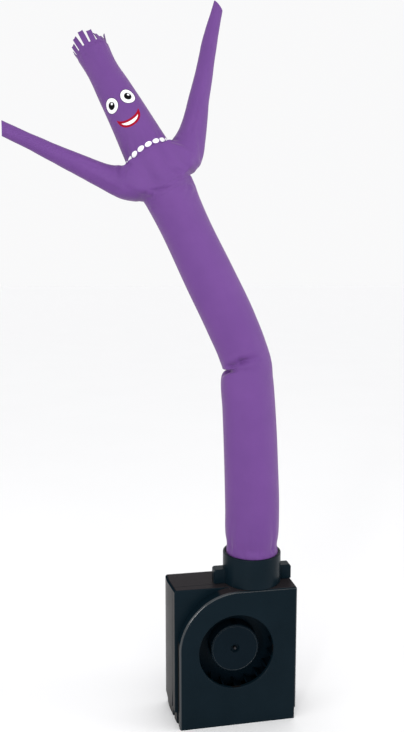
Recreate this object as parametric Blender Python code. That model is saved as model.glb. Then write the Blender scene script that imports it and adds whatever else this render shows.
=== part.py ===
"""Inflatable air dancer: a sewn fabric tube figure with two arms and a fringe of hair, on its fan blower.

The figure is built as it stands when the fan runs. Its pieces are thin fabric tubes sewn end to end:
body tube, chest with both arms, head tube, and the hair, a narrow ring of fabric cut into strips.
Below it are the two halves of the blower's housing, the nozzle that holds the tube, the motor with its
shaft, and the fan wheel, which turns about the shaft.

All sizes are in millimetres. The origin is the middle of the housing's underside; +X is to the right
seen from the front, +Y to the back and +Z up.
"""

import math
from collections import namedtuple

import bmesh
import bpy
import numpy as np
from mathutils import Matrix, Vector

MM = 0.001
GAP = 0.3  # between pieces that touch

# Housing of the blower
HOUSING_W = 82.0
HOUSING_D = 37.0
HOUSING_H = 91.0
WALL = 2.4
RIGHT_X = 40.5
BACK_Y = HOUSING_D / 2
FRONT_Y = -HOUSING_D / 2
PLATE_Y = -9.8  # the flat front that the scroll stands proud of
PARTING_Y = -4.0  # where the two halves of the housing meet
LEFT_X_PLATE = -39.3  # the left side leans in towards the front
LEFT_X_BACK = RIGHT_X - HOUSING_W
LEAN_END_Y = 9.0
CORNER_R = 1.6
SIDE_EDGE_R = 0.7
BACK_EDGE_R = 1.1
FOOT_H = 7.5  # the foot is set in below the sides and the back
FOOT_STEP = 1.2
NOTCH_TOP_Z = 21.0  # a small wedge left open beside the parting line, low on the left side
NOTCH_W = 3.6

# Scroll of the fan, its inlet and its outlet
FAN_Z = 50.3
FAN_X = 0.0
SCROLL_R_LEFT = 37.3
SCROLL_R_TOP = HOUSING_H - FAN_Z
SCROLL_EDGE_R = 1.4
INLET_R = 24.6
INLET_LIP = 0.8

# Nozzle: a round collar between two ears
NOZZLE_X = 14.2
NOZZLE_R = 19.2
NOZZLE_BORE_R = 17.6
NOZZLE_TOP_Z = 111.0
NOZZLE_LIP_R = 0.6
LEDGE_R = 15.5  # the fabric tube ends above this inner ledge
LEDGE_H = 2.2
EAR_HALF_W = 26.2
EAR_HALF_D = 4.0
EAR_TOP_Z = 100.6
EAR_R = 2.0

# Fan wheel, motor and shaft
HUB_R = 16.0
HUB_Y = -13.5
HUB_WALL = 1.8
HUB_RECESS_R = 2.8
HUB_RECESS_DEPTH = 1.6
DISC_Y = -3.0
DISC_R = 30.5
DISC_T = 1.5
BLADES = 20
BLADE_INNER_R = 25.4
BLADE_TURN = math.radians(11)  # how far a blade's outer edge runs ahead of its inner one
BLADE_T = 1.0
BLADE_FRONT_Y = -13.0
BLADE_STEPS = 3
MOTOR_R = 12.0
MOTOR_FRONT_Y = -9.0
MOTOR_BACK_Y = 15.8
SHAFT_R = 1.0
SHAFT_FRONT_Y = -14.0
SHAFT_BACK_Y = -3.0
SOCKET_WALL = 1.8
SOCKET_FRONT_Y = 7.0

# Fabric
CLOTH_T = 1.0
SEGMENTS = 24  # round a fabric tube
SEAM_BAND = 0.04  # share of the chest's height that each seam band takes
HOLE_COLUMNS = 8  # of the chest's segments, open towards each arm
CHEST_ROWS = 4  # between the two seam bands
CHEST_SWELL = 0.7
STRIPS = 14
STRIP_SHARE = 0.75  # of the pitch, the rest is the slit between two strips
STRIP_STEPS = 3
HAIR_BAND_H = 1.6
HAIR_TURN = math.radians(-2.4)  # of the first strip's middle from the head's left side

Section = namedtuple("Section", "x y z radius depth rings")
Fold = namedtuple("Fold", "at0 turn0 at1 turn1 deep width")
Strip = namedtuple("Strip", "lean curl length")

# Sections from bottom to top: centre, radius across, depth as a share of it, rings up to the next section
BODY_SECTIONS = (
    Section(14.2, 0.0, 94.0, 17.1, 1.0, 2),
    Section(14.2, 0.0, 107.0, 17.1, 1.0, 1),
    Section(14.2, 0.0, 111.3, 17.1, 1.0, 2),
    Section(14.1, 0.0, 115.3, 16.6, 1.0, 2),
    Section(14.1, 0.0, 122.0, 17.5, 1.0, 2),
    Section(14.3, 0.0, 139.0, 17.9, 1.0, 4),
    Section(13.0, 0.0, 174.0, 17.7, 1.0, 4),
    Section(11.5, 0.0, 208.0, 17.2, 1.0, 4),
    Section(10.3, 0.0, 226.0, 16.8, 1.0, 4),
    Section(10.4, 0.0, 234.0, 15.9, 1.0, 5),
    Section(7.2, 0.2, 245.0, 15.8, 1.0, 2),
    Section(0.0, 0.6, 262.0, 16.1, 1.0, 3),
    Section(-14.2, 1.5, 290.5, 16.0, 1.0, 4),
    Section(-31.9, 2.5, 326.8, 15.6, 1.0, 3),
    Section(-40.37, 3.0, 344.73, 16.6, 1.0, 0),
)
# Folds of the body tube: from a place along it and a turn from its left side towards the front, in degrees,
# to another such place, with the trough's depth at its start and its half width
BODY_FOLDS = (
    Fold(137.9, -2, 139.2, 60, 4.6, 2.3),
    Fold(138.8, 20, 147.0, 115, 3.0, 2.2),
    Fold(137.9, 2, 141.0, -85, 4.4, 2.4),
)

CHEST_BOTTOM = Section(-40.5, 3.02, 345.0, 16.6, 1.0, 0)
CHEST_TOP = Section(-51.0, 3.7, 363.6, 15.0, 1.0, 0)
NECK_LEAN = math.radians(18)  # the neck seam faces this much backwards

LEFT_ARM_SECTIONS = (
    Section(-70.5, 2.6, 349.2, 9.3, 1.05, 2),
    Section(-78.0, 2.0, 351.4, 7.8, 1.0, 2),
    Section(-92.0, 0.6, 357.2, 6.4, 1.0, 2),
    Section(-107.0, -1.0, 363.5, 5.4, 1.0, 2),
    Section(-122.0, -2.5, 370.0, 4.5, 0.95, 2),
    Section(-138.2, -4.0, 377.0, 4.2, 0.75, 0),
)
RIGHT_ARM_SECTIONS = (
    Section(-28.0, 3.2, 369.5, 10.8, 1.1, 2),
    Section(-24.2, 3.8, 381.6, 8.2, 1.05, 2),
    Section(-20.9, 4.8, 398.0, 6.6, 1.0, 2),
    Section(-17.3, 5.9, 414.1, 5.6, 1.0, 2),
    Section(-14.1, 7.0, 431.0, 4.9, 0.95, 2),
    Section(-10.3, 8.2, 447.0, 4.0, 0.8, 2),
    Section(-7.6, 8.9, 456.8, 3.4, 0.7, 0),
)
LEFT_CUFF_SLANT = math.radians(-22)  # the cut ends of the arms aren't square
RIGHT_CUFF_SLANT = math.radians(33)

HEAD_SECTIONS = (
    Section(-51.13, 3.8, 363.85, 15.0, 1.0, 4),
    Section(-62.4, 7.7, 386.5, 12.7, 1.0, 2),
    Section(-71.9, 12.4, 404.6, 11.0, 1.0, 2),
    Section(-78.9, 16.6, 418.0, 9.7, 1.0, 2),
    Section(-83.9, 19.8, 428.4, 10.3, 1.0, 0),
)

# Strips of hair, from the left side round the front: lean outwards, further curl, length
HAIR_STRIPS = (
    Strip(8, 0, 3.6),
    Strip(5, 0, 5.4),
    Strip(12, 2, 6.8),
    Strip(6, 0, 8.2),
    Strip(4, 4, 6.6),
    Strip(-12, -6, 5.4),
    Strip(-16, -14, 5.0),
    Strip(6, 4, 5.6),
    Strip(-8, -18, 6.5),
    Strip(0, 8, 7.0),
    Strip(4, 8, 7.5),
    Strip(6, 4, 7.5),
    Strip(2, 6, 7.0),
    Strip(-6, 4, 3.5),
)


def clear_scene():
    for obj in list(bpy.data.objects):
        bpy.data.objects.remove(obj, do_unlink=True)


def material(name, colour, roughness, metallic=0.0):
    made = bpy.data.materials.new(name)
    made.use_nodes = True
    shader = made.node_tree.nodes["Principled BSDF"]
    shader.inputs["Base Color"].default_value = (*colour, 1.0)
    shader.inputs["Roughness"].default_value = roughness
    shader.inputs["Metallic"].default_value = metallic
    return made


def mesh_object(name, points, faces, finish=None, sharp=math.radians(35)):
    """An object from points in millimetres."""
    shape = bmesh.new()
    verts = [shape.verts.new(point) for point in np.asarray(points, float) * MM]
    for face in faces:
        shape.faces.new([verts[i] for i in face])
    return finished(name, shape, finish, sharp)


def finished(name, shape, finish, sharp=math.radians(35)):
    """The object of a built shape, with its faces turned outwards and smooth but for its sharp edges."""
    mesh = bpy.data.meshes.new(name)
    bmesh.ops.recalc_face_normals(shape, faces=shape.faces)
    shape.to_mesh(mesh)
    shape.free()
    mesh.shade_smooth()
    mesh.set_sharp_from_angle(angle=sharp)
    if finish:
        mesh.materials.append(finish)
    obj = bpy.data.objects.new(name, mesh)
    bpy.context.scene.collection.objects.link(obj)
    return obj


def helper(obj):
    """Keeps a cutter or a joined shape out of the render."""
    obj.hide_render = True
    obj.display_type = "WIRE"
    return obj


def combine(target, other, operation):
    change = target.modifiers.new(f"{operation.lower()}_{other.name}", "BOOLEAN")
    change.operation = operation
    change.solver = "EXACT"
    change.object = helper(other)


# Solids of the housing ------------------------------------------------------------------------------


def arc(x, z, radius, start, end, steps):
    """Points on an arc, with angles in degrees from +X towards +Z."""
    angles = np.radians(np.linspace(start, end, steps + 1))
    return [(x + radius * math.cos(a), z + radius * math.sin(a)) for a in angles]


def loft(name, layers, finish=None):
    """A closed solid through outlines in x and z, each at its own y, with the same number of points."""
    count = len(layers[0][1])
    points = [(x, y, z) for y, outline in layers for x, z in outline]
    faces = [tuple(range(count)), tuple(range(len(points) - count, len(points)))]
    for k in range(len(layers) - 1):
        for i in range(count):
            j = (i + 1) % count
            faces.append((k * count + i, k * count + j, (k + 1) * count + j, (k + 1) * count + i))
    return mesh_object(name, points, faces, finish)


def turned(name, profile, centre, axis, segments, finish=None, ring=False):
    """A closed solid turned about an axis through centre; profile has (radius, place along the axis).

    A ring's profile closes on itself. Any other profile runs from one flat end to the other.
    """
    shape = bmesh.new()
    verts = []
    for radius, along in profile:
        across = centre[0] + radius
        place = (across, along, centre[1]) if axis == "Y" else (across, centre[1], along)
        verts.append(shape.verts.new(Vector(place) * MM))
    edges = [shape.edges.new(ends) for ends in zip(verts, verts[1:] + verts[:1] if ring else verts[1:])]
    bmesh.ops.spin(
        shape,
        geom=verts + edges,
        cent=Vector((centre[0], 0, centre[1]) if axis == "Y" else (centre[0], centre[1], 0)) * MM,
        axis=(0, 1, 0) if axis == "Y" else (0, 0, 1),
        angle=2 * math.pi,
        steps=segments,
        use_merge=True,
    )
    bmesh.ops.holes_fill(shape, edges=[edge for edge in shape.edges if edge.is_boundary])
    return finished(name, shape, finish)


def rod(name, radius, centre, axis, start, end, segments, finish=None):
    """A closed cylinder about an axis through centre."""
    depth = (end - start) * MM
    middle = (start + end) / 2
    place = (centre[0], middle, centre[1]) if axis == "Y" else (centre[0], centre[1], middle)
    turned_up = Matrix.Rotation(math.radians(90), 4, "X") if axis == "Y" else Matrix.Identity(4)
    shape = bmesh.new()
    bmesh.ops.create_cone(
        shape, cap_ends=True, segments=segments, radius1=radius * MM, radius2=radius * MM, depth=depth
    )
    bmesh.ops.transform(shape, matrix=Matrix.Translation(Vector(place) * MM) @ turned_up, verts=shape.verts)
    return finished(name, shape, finish)


def block(name, low, high, finish=None):
    """A box between two corners."""
    (x0, y0, z0), (x1, y1, z1) = low, high
    corners = [(x0, z0), (x1, z0), (x1, z1), (x0, z1)]
    return loft(name, [(y0, corners), (y1, corners)], finish)


def left_side(y):
    """The x of the housing's left side, which leans in towards the front."""
    share = min(1.0, max(0.0, (y - PLATE_Y) / (LEAN_END_Y - PLATE_Y)))
    return LEFT_X_PLATE + share * (LEFT_X_BACK - LEFT_X_PLATE)


def housing_outline(y, inset=0.0, edge=0.0):
    """The housing's cross-section at y, inset by the wall; edge narrows it where its end is rounded."""
    x0, x1 = left_side(y) + inset + edge, RIGHT_X - inset - edge
    z0, z1 = inset, HOUSING_H - inset - edge
    radius = max(CORNER_R - inset - edge, 0.5)
    return (
        arc(x1 - radius, z0 + radius, radius, -90, 0, 2)
        + arc(x1 - radius, z1 - radius, radius, 0, 90, 3)
        + arc(x0 + radius, z1 - radius, radius, 90, 180, 3)
        + arc(x0 + radius, z0 + radius, radius, 180, 270, 2)
    )


def scroll_outline(inset=0.0, edge=0.0):
    """The scroll's outline: its radius grows from the left side up to the top, where the outlet is."""
    x0, x1 = FAN_X - SCROLL_R_LEFT + inset + edge, RIGHT_X - inset - edge
    z0, z1 = inset, HOUSING_H - inset - edge
    radius = max(CORNER_R - inset - edge, 0.5)
    growing = []
    for step in range(1, 12):
        share = step / 12
        reach = SCROLL_R_LEFT + share * (SCROLL_R_TOP - SCROLL_R_LEFT) - inset - edge
        angle = math.radians(180 - 90 * share)
        growing.append((FAN_X + reach * math.cos(angle), FAN_Z + reach * math.sin(angle)))
    return (
        [(x1, z0)]
        + arc(x1 - radius, z1 - radius, radius, 0, 90, 3)
        + [(FAN_X, z1)]
        + growing[::-1]
        + [(x0, FAN_Z), (x0, z0)]
    )


def rounded_end(outline_at, y_end, radius, steps, direction):
    """Layers that round the edge where a loft ends at y_end; direction is +1 or -1, pointing out."""
    layers = []
    for k in range(steps + 1):
        angle = math.radians(90 * k / steps)
        y = y_end - direction * radius * (1 - math.sin(angle))
        layers.append((y, outline_at(y, radius * (1 - math.cos(angle)))))
    return layers


def cut_foot(target):
    """The foot is set in below the sides and the back."""
    right = block(
        f"{target.name}_foot_right",
        (RIGHT_X - FOOT_STEP, FRONT_Y - 2, -1),
        (RIGHT_X + 2, BACK_Y + 2, FOOT_H),
    )
    combine(target, right, "DIFFERENCE")
    layers = []
    for y in (PLATE_Y - 0.01, LEAN_END_Y, BACK_Y + 2):
        side = left_side(y) + FOOT_STEP
        outer = LEFT_X_BACK - 3
        layers.append((y, [(outer, -1), (side, -1), (side, FOOT_H), (outer, FOOT_H)]))
    combine(target, loft(f"{target.name}_foot_left", layers), "DIFFERENCE")


def cut_outlet(target):
    cutter = rod(
        f"{target.name}_outlet", LEDGE_R, (NOZZLE_X, 0.0), "Z", HOUSING_H - 3 * WALL, HOUSING_H + WALL, 48
    )
    combine(target, cutter, "DIFFERENCE")


def make_housing_front(finish):
    """The front half: a shallow tray with the fan's scroll standing proud of it."""
    back = PARTING_Y - GAP / 2
    half = loft(
        "housing_front",
        rounded_end(lambda y, edge: housing_outline(y, edge=edge), PLATE_Y, SIDE_EDGE_R, 2, -1)[::-1]
        + [(back, housing_outline(back))],
        finish,
    )
    scroll = loft(
        "scroll",
        rounded_end(lambda y, edge: scroll_outline(edge=edge), FRONT_Y, SCROLL_EDGE_R, 3, -1)[::-1]
        + [(PLATE_Y + 1.0, scroll_outline())],
        finish,
    )
    combine(half, scroll, "UNION")
    tray = [(y, housing_outline(y, WALL)) for y in (PLATE_Y + WALL, PARTING_Y + 2)]
    combine(half, loft("tray_hollow", tray), "DIFFERENCE")
    hollow = [(y, scroll_outline(WALL)) for y in (FRONT_Y + WALL, PLATE_Y + WALL + 1)]
    combine(half, loft("scroll_hollow", hollow), "DIFFERENCE")
    profile = [
        (INLET_R, FRONT_Y + WALL + 1),
        (INLET_R, FRONT_Y + INLET_LIP),
        (INLET_R + INLET_LIP, FRONT_Y - 0.001),
        (INLET_R + INLET_LIP, FRONT_Y - 1),
    ]
    combine(half, turned("inlet", profile, (FAN_X, FAN_Z), "Y", 64), "DIFFERENCE")
    cut_outlet(half)
    cut_foot(half)
    return half


def make_housing_back(finish):
    """The back half: a deep tray, and the socket that holds the motor."""
    front = PARTING_Y + GAP / 2
    half = loft(
        "housing_back",
        [(front, housing_outline(front)), (LEAN_END_Y, housing_outline(LEAN_END_Y))]
        + rounded_end(lambda y, edge: housing_outline(y, edge=edge), BACK_Y, BACK_EDGE_R, 3, 1),
        finish,
    )
    hollow = [(y, housing_outline(y, WALL)) for y in (front - 1, LEAN_END_Y, BACK_Y - WALL)]
    combine(half, loft("back_hollow", hollow), "DIFFERENCE")
    socket = turned(
        "motor_socket",
        [
            (MOTOR_R + GAP + SOCKET_WALL, SOCKET_FRONT_Y),
            (MOTOR_R + GAP + SOCKET_WALL, BACK_Y - WALL / 2),
            (MOTOR_R + GAP, BACK_Y - WALL / 2),
            (MOTOR_R + GAP, SOCKET_FRONT_Y),
        ],
        (FAN_X, FAN_Z),
        "Y",
        40,
        ring=True,
    )
    combine(half, socket, "UNION")
    cut_outlet(half)
    cut_foot(half)
    behind = block(
        "housing_back_foot_behind",
        (LEFT_X_BACK - 4, BACK_Y - FOOT_STEP, -1.5),
        (RIGHT_X + 3, BACK_Y + 3, FOOT_H),
    )
    combine(half, behind, "DIFFERENCE")
    combine(half, make_notch(front), "DIFFERENCE")
    return half


def make_notch(front):
    """A wedge that is narrow at its top, beside the parting line on the left side."""
    side = ((front - 1, -2.0), (front + NOTCH_W, -2.0), (front, NOTCH_TOP_Z), (front - 1, NOTCH_TOP_Z))
    points = [(x, y, z) for x in (LEFT_X_BACK - 2, LEFT_X_BACK + WALL + 2) for y, z in side]
    faces = [(0, 1, 2, 3), (4, 5, 6, 7)]
    faces += [(k, (k + 1) % 4, 4 + (k + 1) % 4, 4 + k) for k in range(4)]
    return mesh_object("notch", points, faces)


def make_nozzle(finish):
    """The collar that holds the fabric tube, with an ear on each side."""
    bottom, top = HOUSING_H + GAP, NOZZLE_TOP_Z
    centre = (NOZZLE_X, 0.0)
    outside = [(NOZZLE_R, bottom), (NOZZLE_R, top - NOZZLE_LIP_R), (NOZZLE_R - NOZZLE_LIP_R, top)]
    collar = turned("nozzle", outside, centre, "Z", 48, finish)
    outline = (
        [(NOZZLE_X + EAR_HALF_W, bottom)]
        + arc(NOZZLE_X + EAR_HALF_W - EAR_R, EAR_TOP_Z - EAR_R, EAR_R, 0, 90, 4)
        + arc(NOZZLE_X - EAR_HALF_W + EAR_R, EAR_TOP_Z - EAR_R, EAR_R, 90, 180, 4)
        + [(NOZZLE_X - EAR_HALF_W, bottom)]
    )
    combine(collar, loft("nozzle_ears", [(-EAR_HALF_D, outline), (EAR_HALF_D, outline)]), "UNION")
    bore = [
        (LEDGE_R, bottom - 1),
        (LEDGE_R, bottom + LEDGE_H),
        (NOZZLE_BORE_R, bottom + LEDGE_H),
        (NOZZLE_BORE_R, top + 1),
    ]
    combine(collar, turned("nozzle_bore", bore, centre, "Z", 48), "DIFFERENCE")
    return collar


def make_motor(finish):
    motor = rod("motor", MOTOR_R, (FAN_X, FAN_Z), "Y", MOTOR_FRONT_Y, MOTOR_BACK_Y, 40, finish)
    bearing = rod(
        "motor_bearing", SHAFT_R + GAP, (FAN_X, FAN_Z), "Y", MOTOR_FRONT_Y - 1, SHAFT_BACK_Y + 1, 20
    )
    combine(motor, bearing, "DIFFERENCE")
    return motor


def make_fan_wheel(finish):
    """A cup over the motor, a disc behind it and a ring of curved blades on the disc."""
    wheel = turned(
        "fan_wheel",
        [
            (SHAFT_R + GAP, HUB_Y + HUB_RECESS_DEPTH),
            (HUB_RECESS_R, HUB_Y + HUB_RECESS_DEPTH),
            (HUB_RECESS_R, HUB_Y),
            (HUB_R - 1.0, HUB_Y),
            (HUB_R, HUB_Y + 1.0),
            (HUB_R, DISC_Y),
            (DISC_R, DISC_Y),
            (DISC_R, DISC_Y + DISC_T),
            (HUB_R - HUB_WALL, DISC_Y + DISC_T),
            (HUB_R - HUB_WALL, HUB_Y + HUB_RECESS_DEPTH + HUB_WALL),
            (SHAFT_R + GAP, HUB_Y + HUB_RECESS_DEPTH + HUB_WALL),
        ],
        (FAN_X, FAN_Z),
        "Y",
        60,
        finish,
        ring=True,
    )
    points, faces = [], []
    for blade in range(BLADES):
        add_blade(points, faces, 2 * math.pi * blade / BLADES)
    combine(wheel, mesh_object("blades", points, faces), "UNION")
    return wheel


def add_blade(points, faces, start):
    """One curved blade, as a closed solid whose foot sinks half way into the disc."""
    side = []
    for k in range(BLADE_STEPS + 1):
        share = k / BLADE_STEPS
        radius = BLADE_INNER_R + share * (DISC_R - 0.4 - BLADE_INNER_R)
        angle = start + BLADE_TURN * share**1.6
        half = BLADE_T / 2 / radius
        side.append((radius, angle, half))
    outline = [(r, a + h) for r, a, h in side] + [(r, a - h) for r, a, h in side[::-1]]
    first, count = len(points), len(outline)
    for y in (BLADE_FRONT_Y, DISC_Y + DISC_T / 2):
        points += [(FAN_X + r * math.cos(a), y, FAN_Z + r * math.sin(a)) for r, a in outline]
    faces.append(tuple(range(first, first + count)))
    faces.append(tuple(range(first + count, first + 2 * count)))
    for i in range(count):
        j = (i + 1) % count
        faces.append((first + i, first + j, first + count + j, first + count + i))


def make_shaft(finish):
    return rod("motor_shaft", SHAFT_R, (FAN_X, FAN_Z), "Y", SHAFT_FRONT_Y, SHAFT_BACK_Y, 20, finish)


# Fabric ---------------------------------------------------------------------------------------------


def smooth_sections(sections):
    """Rows of (x, y, z, radius, depth) on a smooth curve through the table's sections."""
    rows = np.array([s[:5] for s in sections], float)
    steps = np.linalg.norm(np.diff(rows[:, :3], axis=0), axis=1)
    at = np.concatenate([[0.0], np.cumsum(steps)])
    slopes = np.gradient(rows, at, axis=0)
    made = []
    for k, section in enumerate(sections[:-1]):
        width = at[k + 1] - at[k]
        for i in range(section.rings):
            t = i / section.rings
            made.append(
                (2 * t**3 - 3 * t**2 + 1) * rows[k]
                + (t**3 - 2 * t**2 + t) * width * slopes[k]
                + (3 * t**2 - 2 * t**3) * rows[k + 1]
                + (t**3 - t**2) * width * slopes[k + 1]
            )
    return np.array(made + [rows[-1]])


def directions(rows):
    """The unit direction of the tube at each row."""
    along = np.gradient(rows[:, :3], axis=0)
    return along / np.linalg.norm(along, axis=1)[:, None]


def frame_of(direction):
    """(left, front): unit vectors across a tube that runs in this direction, roughly in the XZ plane."""
    left = np.cross(direction, (0.0, 1.0, 0.0))
    left /= np.linalg.norm(left)
    return left, np.cross(direction, left)


def fold_depth(folds, at, turn, radius):
    """How far the folds press the fabric in, at a place along the tube and a turn in radians."""
    deep = 0.0
    turn = (turn + math.pi) % (2 * math.pi) - math.pi
    for fold in folds:
        start = np.array([fold.at0, radius * math.radians(fold.turn0)])
        run = np.array([fold.at1, radius * math.radians(fold.turn1)]) - start
        here = np.array([at, radius * turn]) - start
        share = min(1.0, max(0.0, float(here @ run / (run @ run))))
        away = np.linalg.norm(here - share * run)
        deep = max(deep, fold.deep * (1 - share) ** 0.7 * math.exp(-((away / fold.width) ** 2)))
    return deep


def tube_rings(rows, folds=(), first=None, last=None):
    """A ring of points round each row; first and last may give the end rings' own directions."""
    ways = directions(rows)
    if first is not None:
        ways[0] = first
    if last is not None:
        ways[-1] = last
    at = np.concatenate([[0.0], np.cumsum(np.linalg.norm(np.diff(rows[:, :3], axis=0), axis=1))])
    rings = []
    for row, way, place in zip(rows, ways, at, strict=True):
        left, front = frame_of(way)
        ring = []
        for j in range(SEGMENTS):
            turn = 2 * math.pi * j / SEGMENTS
            radius = row[3] - fold_depth(folds, place, turn, row[3])
            ring.append(row[:3] + radius * (math.cos(turn) * left + row[4] * math.sin(turn) * front))
        rings.append(ring)
    return rings


def join_rings(rings, first=0):
    """Quads between successive rings of points, whose numbers start at first."""
    count = len(rings[0])
    faces = []
    for k in range(len(rings) - 1):
        low, high = first + k * count, first + (k + 1) * count
        for i in range(count):
            j = (i + 1) % count
            faces.append((low + i, low + j, high + j, high + i))
    return faces


def cloth_object(name, points, faces, finish):
    """A fabric sheet: the net of its outer face, thickened inwards."""
    obj = mesh_object(name, points, faces, finish, sharp=math.radians(60))
    sheet = obj.modifiers.new("fabric", "SOLIDIFY")
    sheet.thickness = CLOTH_T * MM
    sheet.offset = -1.0
    sheet.use_even_offset = False
    return obj


def tilted(direction, angle):
    """The direction turned backwards, towards +Y, by an angle."""
    direction = np.array(direction) / np.linalg.norm(direction)
    turned = direction * math.cos(angle) + np.array([0.0, 1.0, 0.0]) * math.sin(angle)
    return turned / np.linalg.norm(turned)


def chest_direction():
    run = np.array(CHEST_TOP[:3]) - np.array(CHEST_BOTTOM[:3])
    return run / np.linalg.norm(run)


def neck_direction():
    return tilted(chest_direction(), NECK_LEAN)


def make_body_tube(finish):
    rows = smooth_sections(BODY_SECTIONS)
    rings = tube_rings(rows, BODY_FOLDS, first=np.array([0.0, 0.0, 1.0]), last=chest_direction())
    return cloth_object("body_tube", np.concatenate(rings), join_rings(rings), finish)


def make_head_tube(finish):
    rows = smooth_sections(HEAD_SECTIONS)
    rings = tube_rings(rows, first=neck_direction())
    return cloth_object("head_tube", np.concatenate(rings), join_rings(rings), finish)


def chest_rings():
    """Rings from the waist seam to the neck seam, with a narrow band at each seam."""
    shares = [0.0, *np.linspace(SEAM_BAND, 1 - SEAM_BAND, CHEST_ROWS + 1), 1.0]
    low, high = np.array(CHEST_BOTTOM[:4]), np.array(CHEST_TOP[:4])
    rings = []
    for share in shares:
        row = low + share * (high - low)
        radius = row[3] + CHEST_SWELL * math.sin(math.pi * share)
        way = (1 - share) * chest_direction() + share * neck_direction()
        left, front = frame_of(way / np.linalg.norm(way))
        ring = []
        for j in range(SEGMENTS):
            turn = 2 * math.pi * j / SEGMENTS
            ring.append(row[:3] + radius * (math.cos(turn) * left + math.sin(turn) * front))
        rings.append(ring)
    return rings


def hole_loop(middle):
    """The numbers of the chest's points round the hole for an arm, whose middle is at that segment."""
    half = HOLE_COLUMNS // 2
    low, high = 1, CHEST_ROWS + 1
    columns = [(middle + k) % SEGMENTS for k in range(-half, half + 1)]
    loop = [(low, c) for c in columns]
    loop += [(row, columns[-1]) for row in range(low + 1, high)]
    loop += [(high, c) for c in reversed(columns)]
    loop += [(row, columns[0]) for row in range(high - 1, low, -1)]
    return [row * SEGMENTS + column for row, column in loop]


def arm_rings(root, sections, slant):
    """Rings of an arm, which start from the points round its hole and turn round within a few rings."""
    rows = smooth_sections(sections)
    ways = directions(rows)
    root = np.array(root)
    middle = root.mean(axis=0)
    start_way = rows[0, :3] - middle
    start_way /= np.linalg.norm(start_way)
    ways[0] = start_way + ways[0]
    ways[0] /= np.linalg.norm(ways[0])
    left, front = frame_of(ways[0])
    away = root - middle
    turns = np.unwrap(np.arctan2(away @ front, away @ left))
    step = math.copysign(2 * math.pi / len(root), turns[-1] - turns[0])
    even = step * np.arange(len(root))
    even += (turns - even).mean()
    rings = []
    for k, (row, way) in enumerate(zip(rows, ways, strict=True)):
        left, front = frame_of(way)
        share = min(1.0, (k + 1) / 4)
        ring = []
        for turn, even_turn in zip(turns, even, strict=True):
            angle = turn + share * (even_turn - turn)
            point = row[3] * (math.cos(angle) * left + row[4] * math.sin(angle) * front)
            if k == len(rows) - 1:
                point = point + way * math.tan(slant) * float(point @ left)
            ring.append(row[:3] + point)
        rings.append(ring)
    middle_ring = [(a + b) / 2 + 0.1 * (b - middle) for a, b in zip(root, np.array(rings[0]), strict=True)]
    return [middle_ring, *rings]


def make_chest_and_arms(finish):
    chest = chest_rings()
    points = [p for ring in chest for p in ring]
    holes = {0: (LEFT_ARM_SECTIONS, LEFT_CUFF_SLANT), SEGMENTS // 2: (RIGHT_ARM_SECTIONS, RIGHT_CUFF_SLANT)}
    half = HOLE_COLUMNS // 2
    faces = []
    for row in range(len(chest) - 1):
        for column in range(SEGMENTS):
            open_here = 0 < row < len(chest) - 2 and any(
                (column - middle + half) % SEGMENTS < HOLE_COLUMNS for middle in holes
            )
            if not open_here:
                right = (column + 1) % SEGMENTS
                low, high = row * SEGMENTS, (row + 1) * SEGMENTS
                faces.append((low + column, low + right, high + right, high + column))
    for middle, (sections, slant) in holes.items():
        loop = hole_loop(middle)
        rings = arm_rings([points[i] for i in loop], sections, slant)
        first = len(points)
        count = len(loop)
        for i in range(count):
            j = (i + 1) % count
            faces.append((loop[i], loop[j], first + j, first + i))
        faces += join_rings(rings, first)
        points += [p for ring in rings for p in ring]
    return cloth_object("chest_and_arms", points, faces, finish)


def make_hair(finish):
    """A narrow ring above the head tube, cut into strips that lean and curl, each in its own way."""
    top = HEAD_SECTIONS[-1]
    below = HEAD_SECTIONS[-2]
    way = np.array(top[:3]) - np.array(below[:3])
    way /= np.linalg.norm(way)
    left, front = frame_of(way)
    base = np.array(top[:3]) + GAP * way
    pitch = 2 * math.pi / STRIPS
    edges = []
    for strip in range(STRIPS):
        middle = HAIR_TURN + strip * pitch
        edges += [middle - pitch * STRIP_SHARE / 2, middle + pitch * STRIP_SHARE / 2]
    points, faces = [], []

    def spoke(turn):
        return math.cos(turn) * left + math.sin(turn) * front

    for height in (0.0, HAIR_BAND_H):
        for radius in (top.radius, top.radius - CLOTH_T):
            points += [base + height * way + radius * spoke(turn) for turn in edges]
    count = len(edges)
    outer_low, inner_low, outer_high, inner_high = (k * count for k in range(4))
    for i in range(count):
        j = (i + 1) % count
        faces.append((outer_low + i, outer_low + j, outer_high + j, outer_high + i))
        faces.append((inner_low + j, inner_low + i, inner_high + i, inner_high + j))
        faces.append((outer_low + j, outer_low + i, inner_low + i, inner_low + j))
        if i % 2:
            faces.append((outer_high + i, outer_high + j, inner_high + j, inner_high + i))
    for strip, shape in enumerate(HAIR_STRIPS):
        i, j = 2 * strip, 2 * strip + 1
        out = spoke(HAIR_TURN + strip * pitch)
        last = (outer_high + i, outer_high + j, inner_high + j, inner_high + i)
        corners = [np.array(points[p]) for p in last]
        for step in range(1, STRIP_STEPS + 1):
            lean = math.radians(shape.lean + shape.curl * (step - 0.5) / STRIP_STEPS)
            move = shape.length / STRIP_STEPS * (math.cos(lean) * way + math.sin(lean) * out)
            corners = [c + move for c in corners]
            first = len(points)
            points += corners
            made = tuple(range(first, first + 4))
            for a in range(4):
                b = (a + 1) % 4
                faces.append((last[a], last[b], made[b], made[a]))
            last = made
        faces.append(last)
    return mesh_object("hair", points, faces, finish, sharp=math.radians(50))


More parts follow.
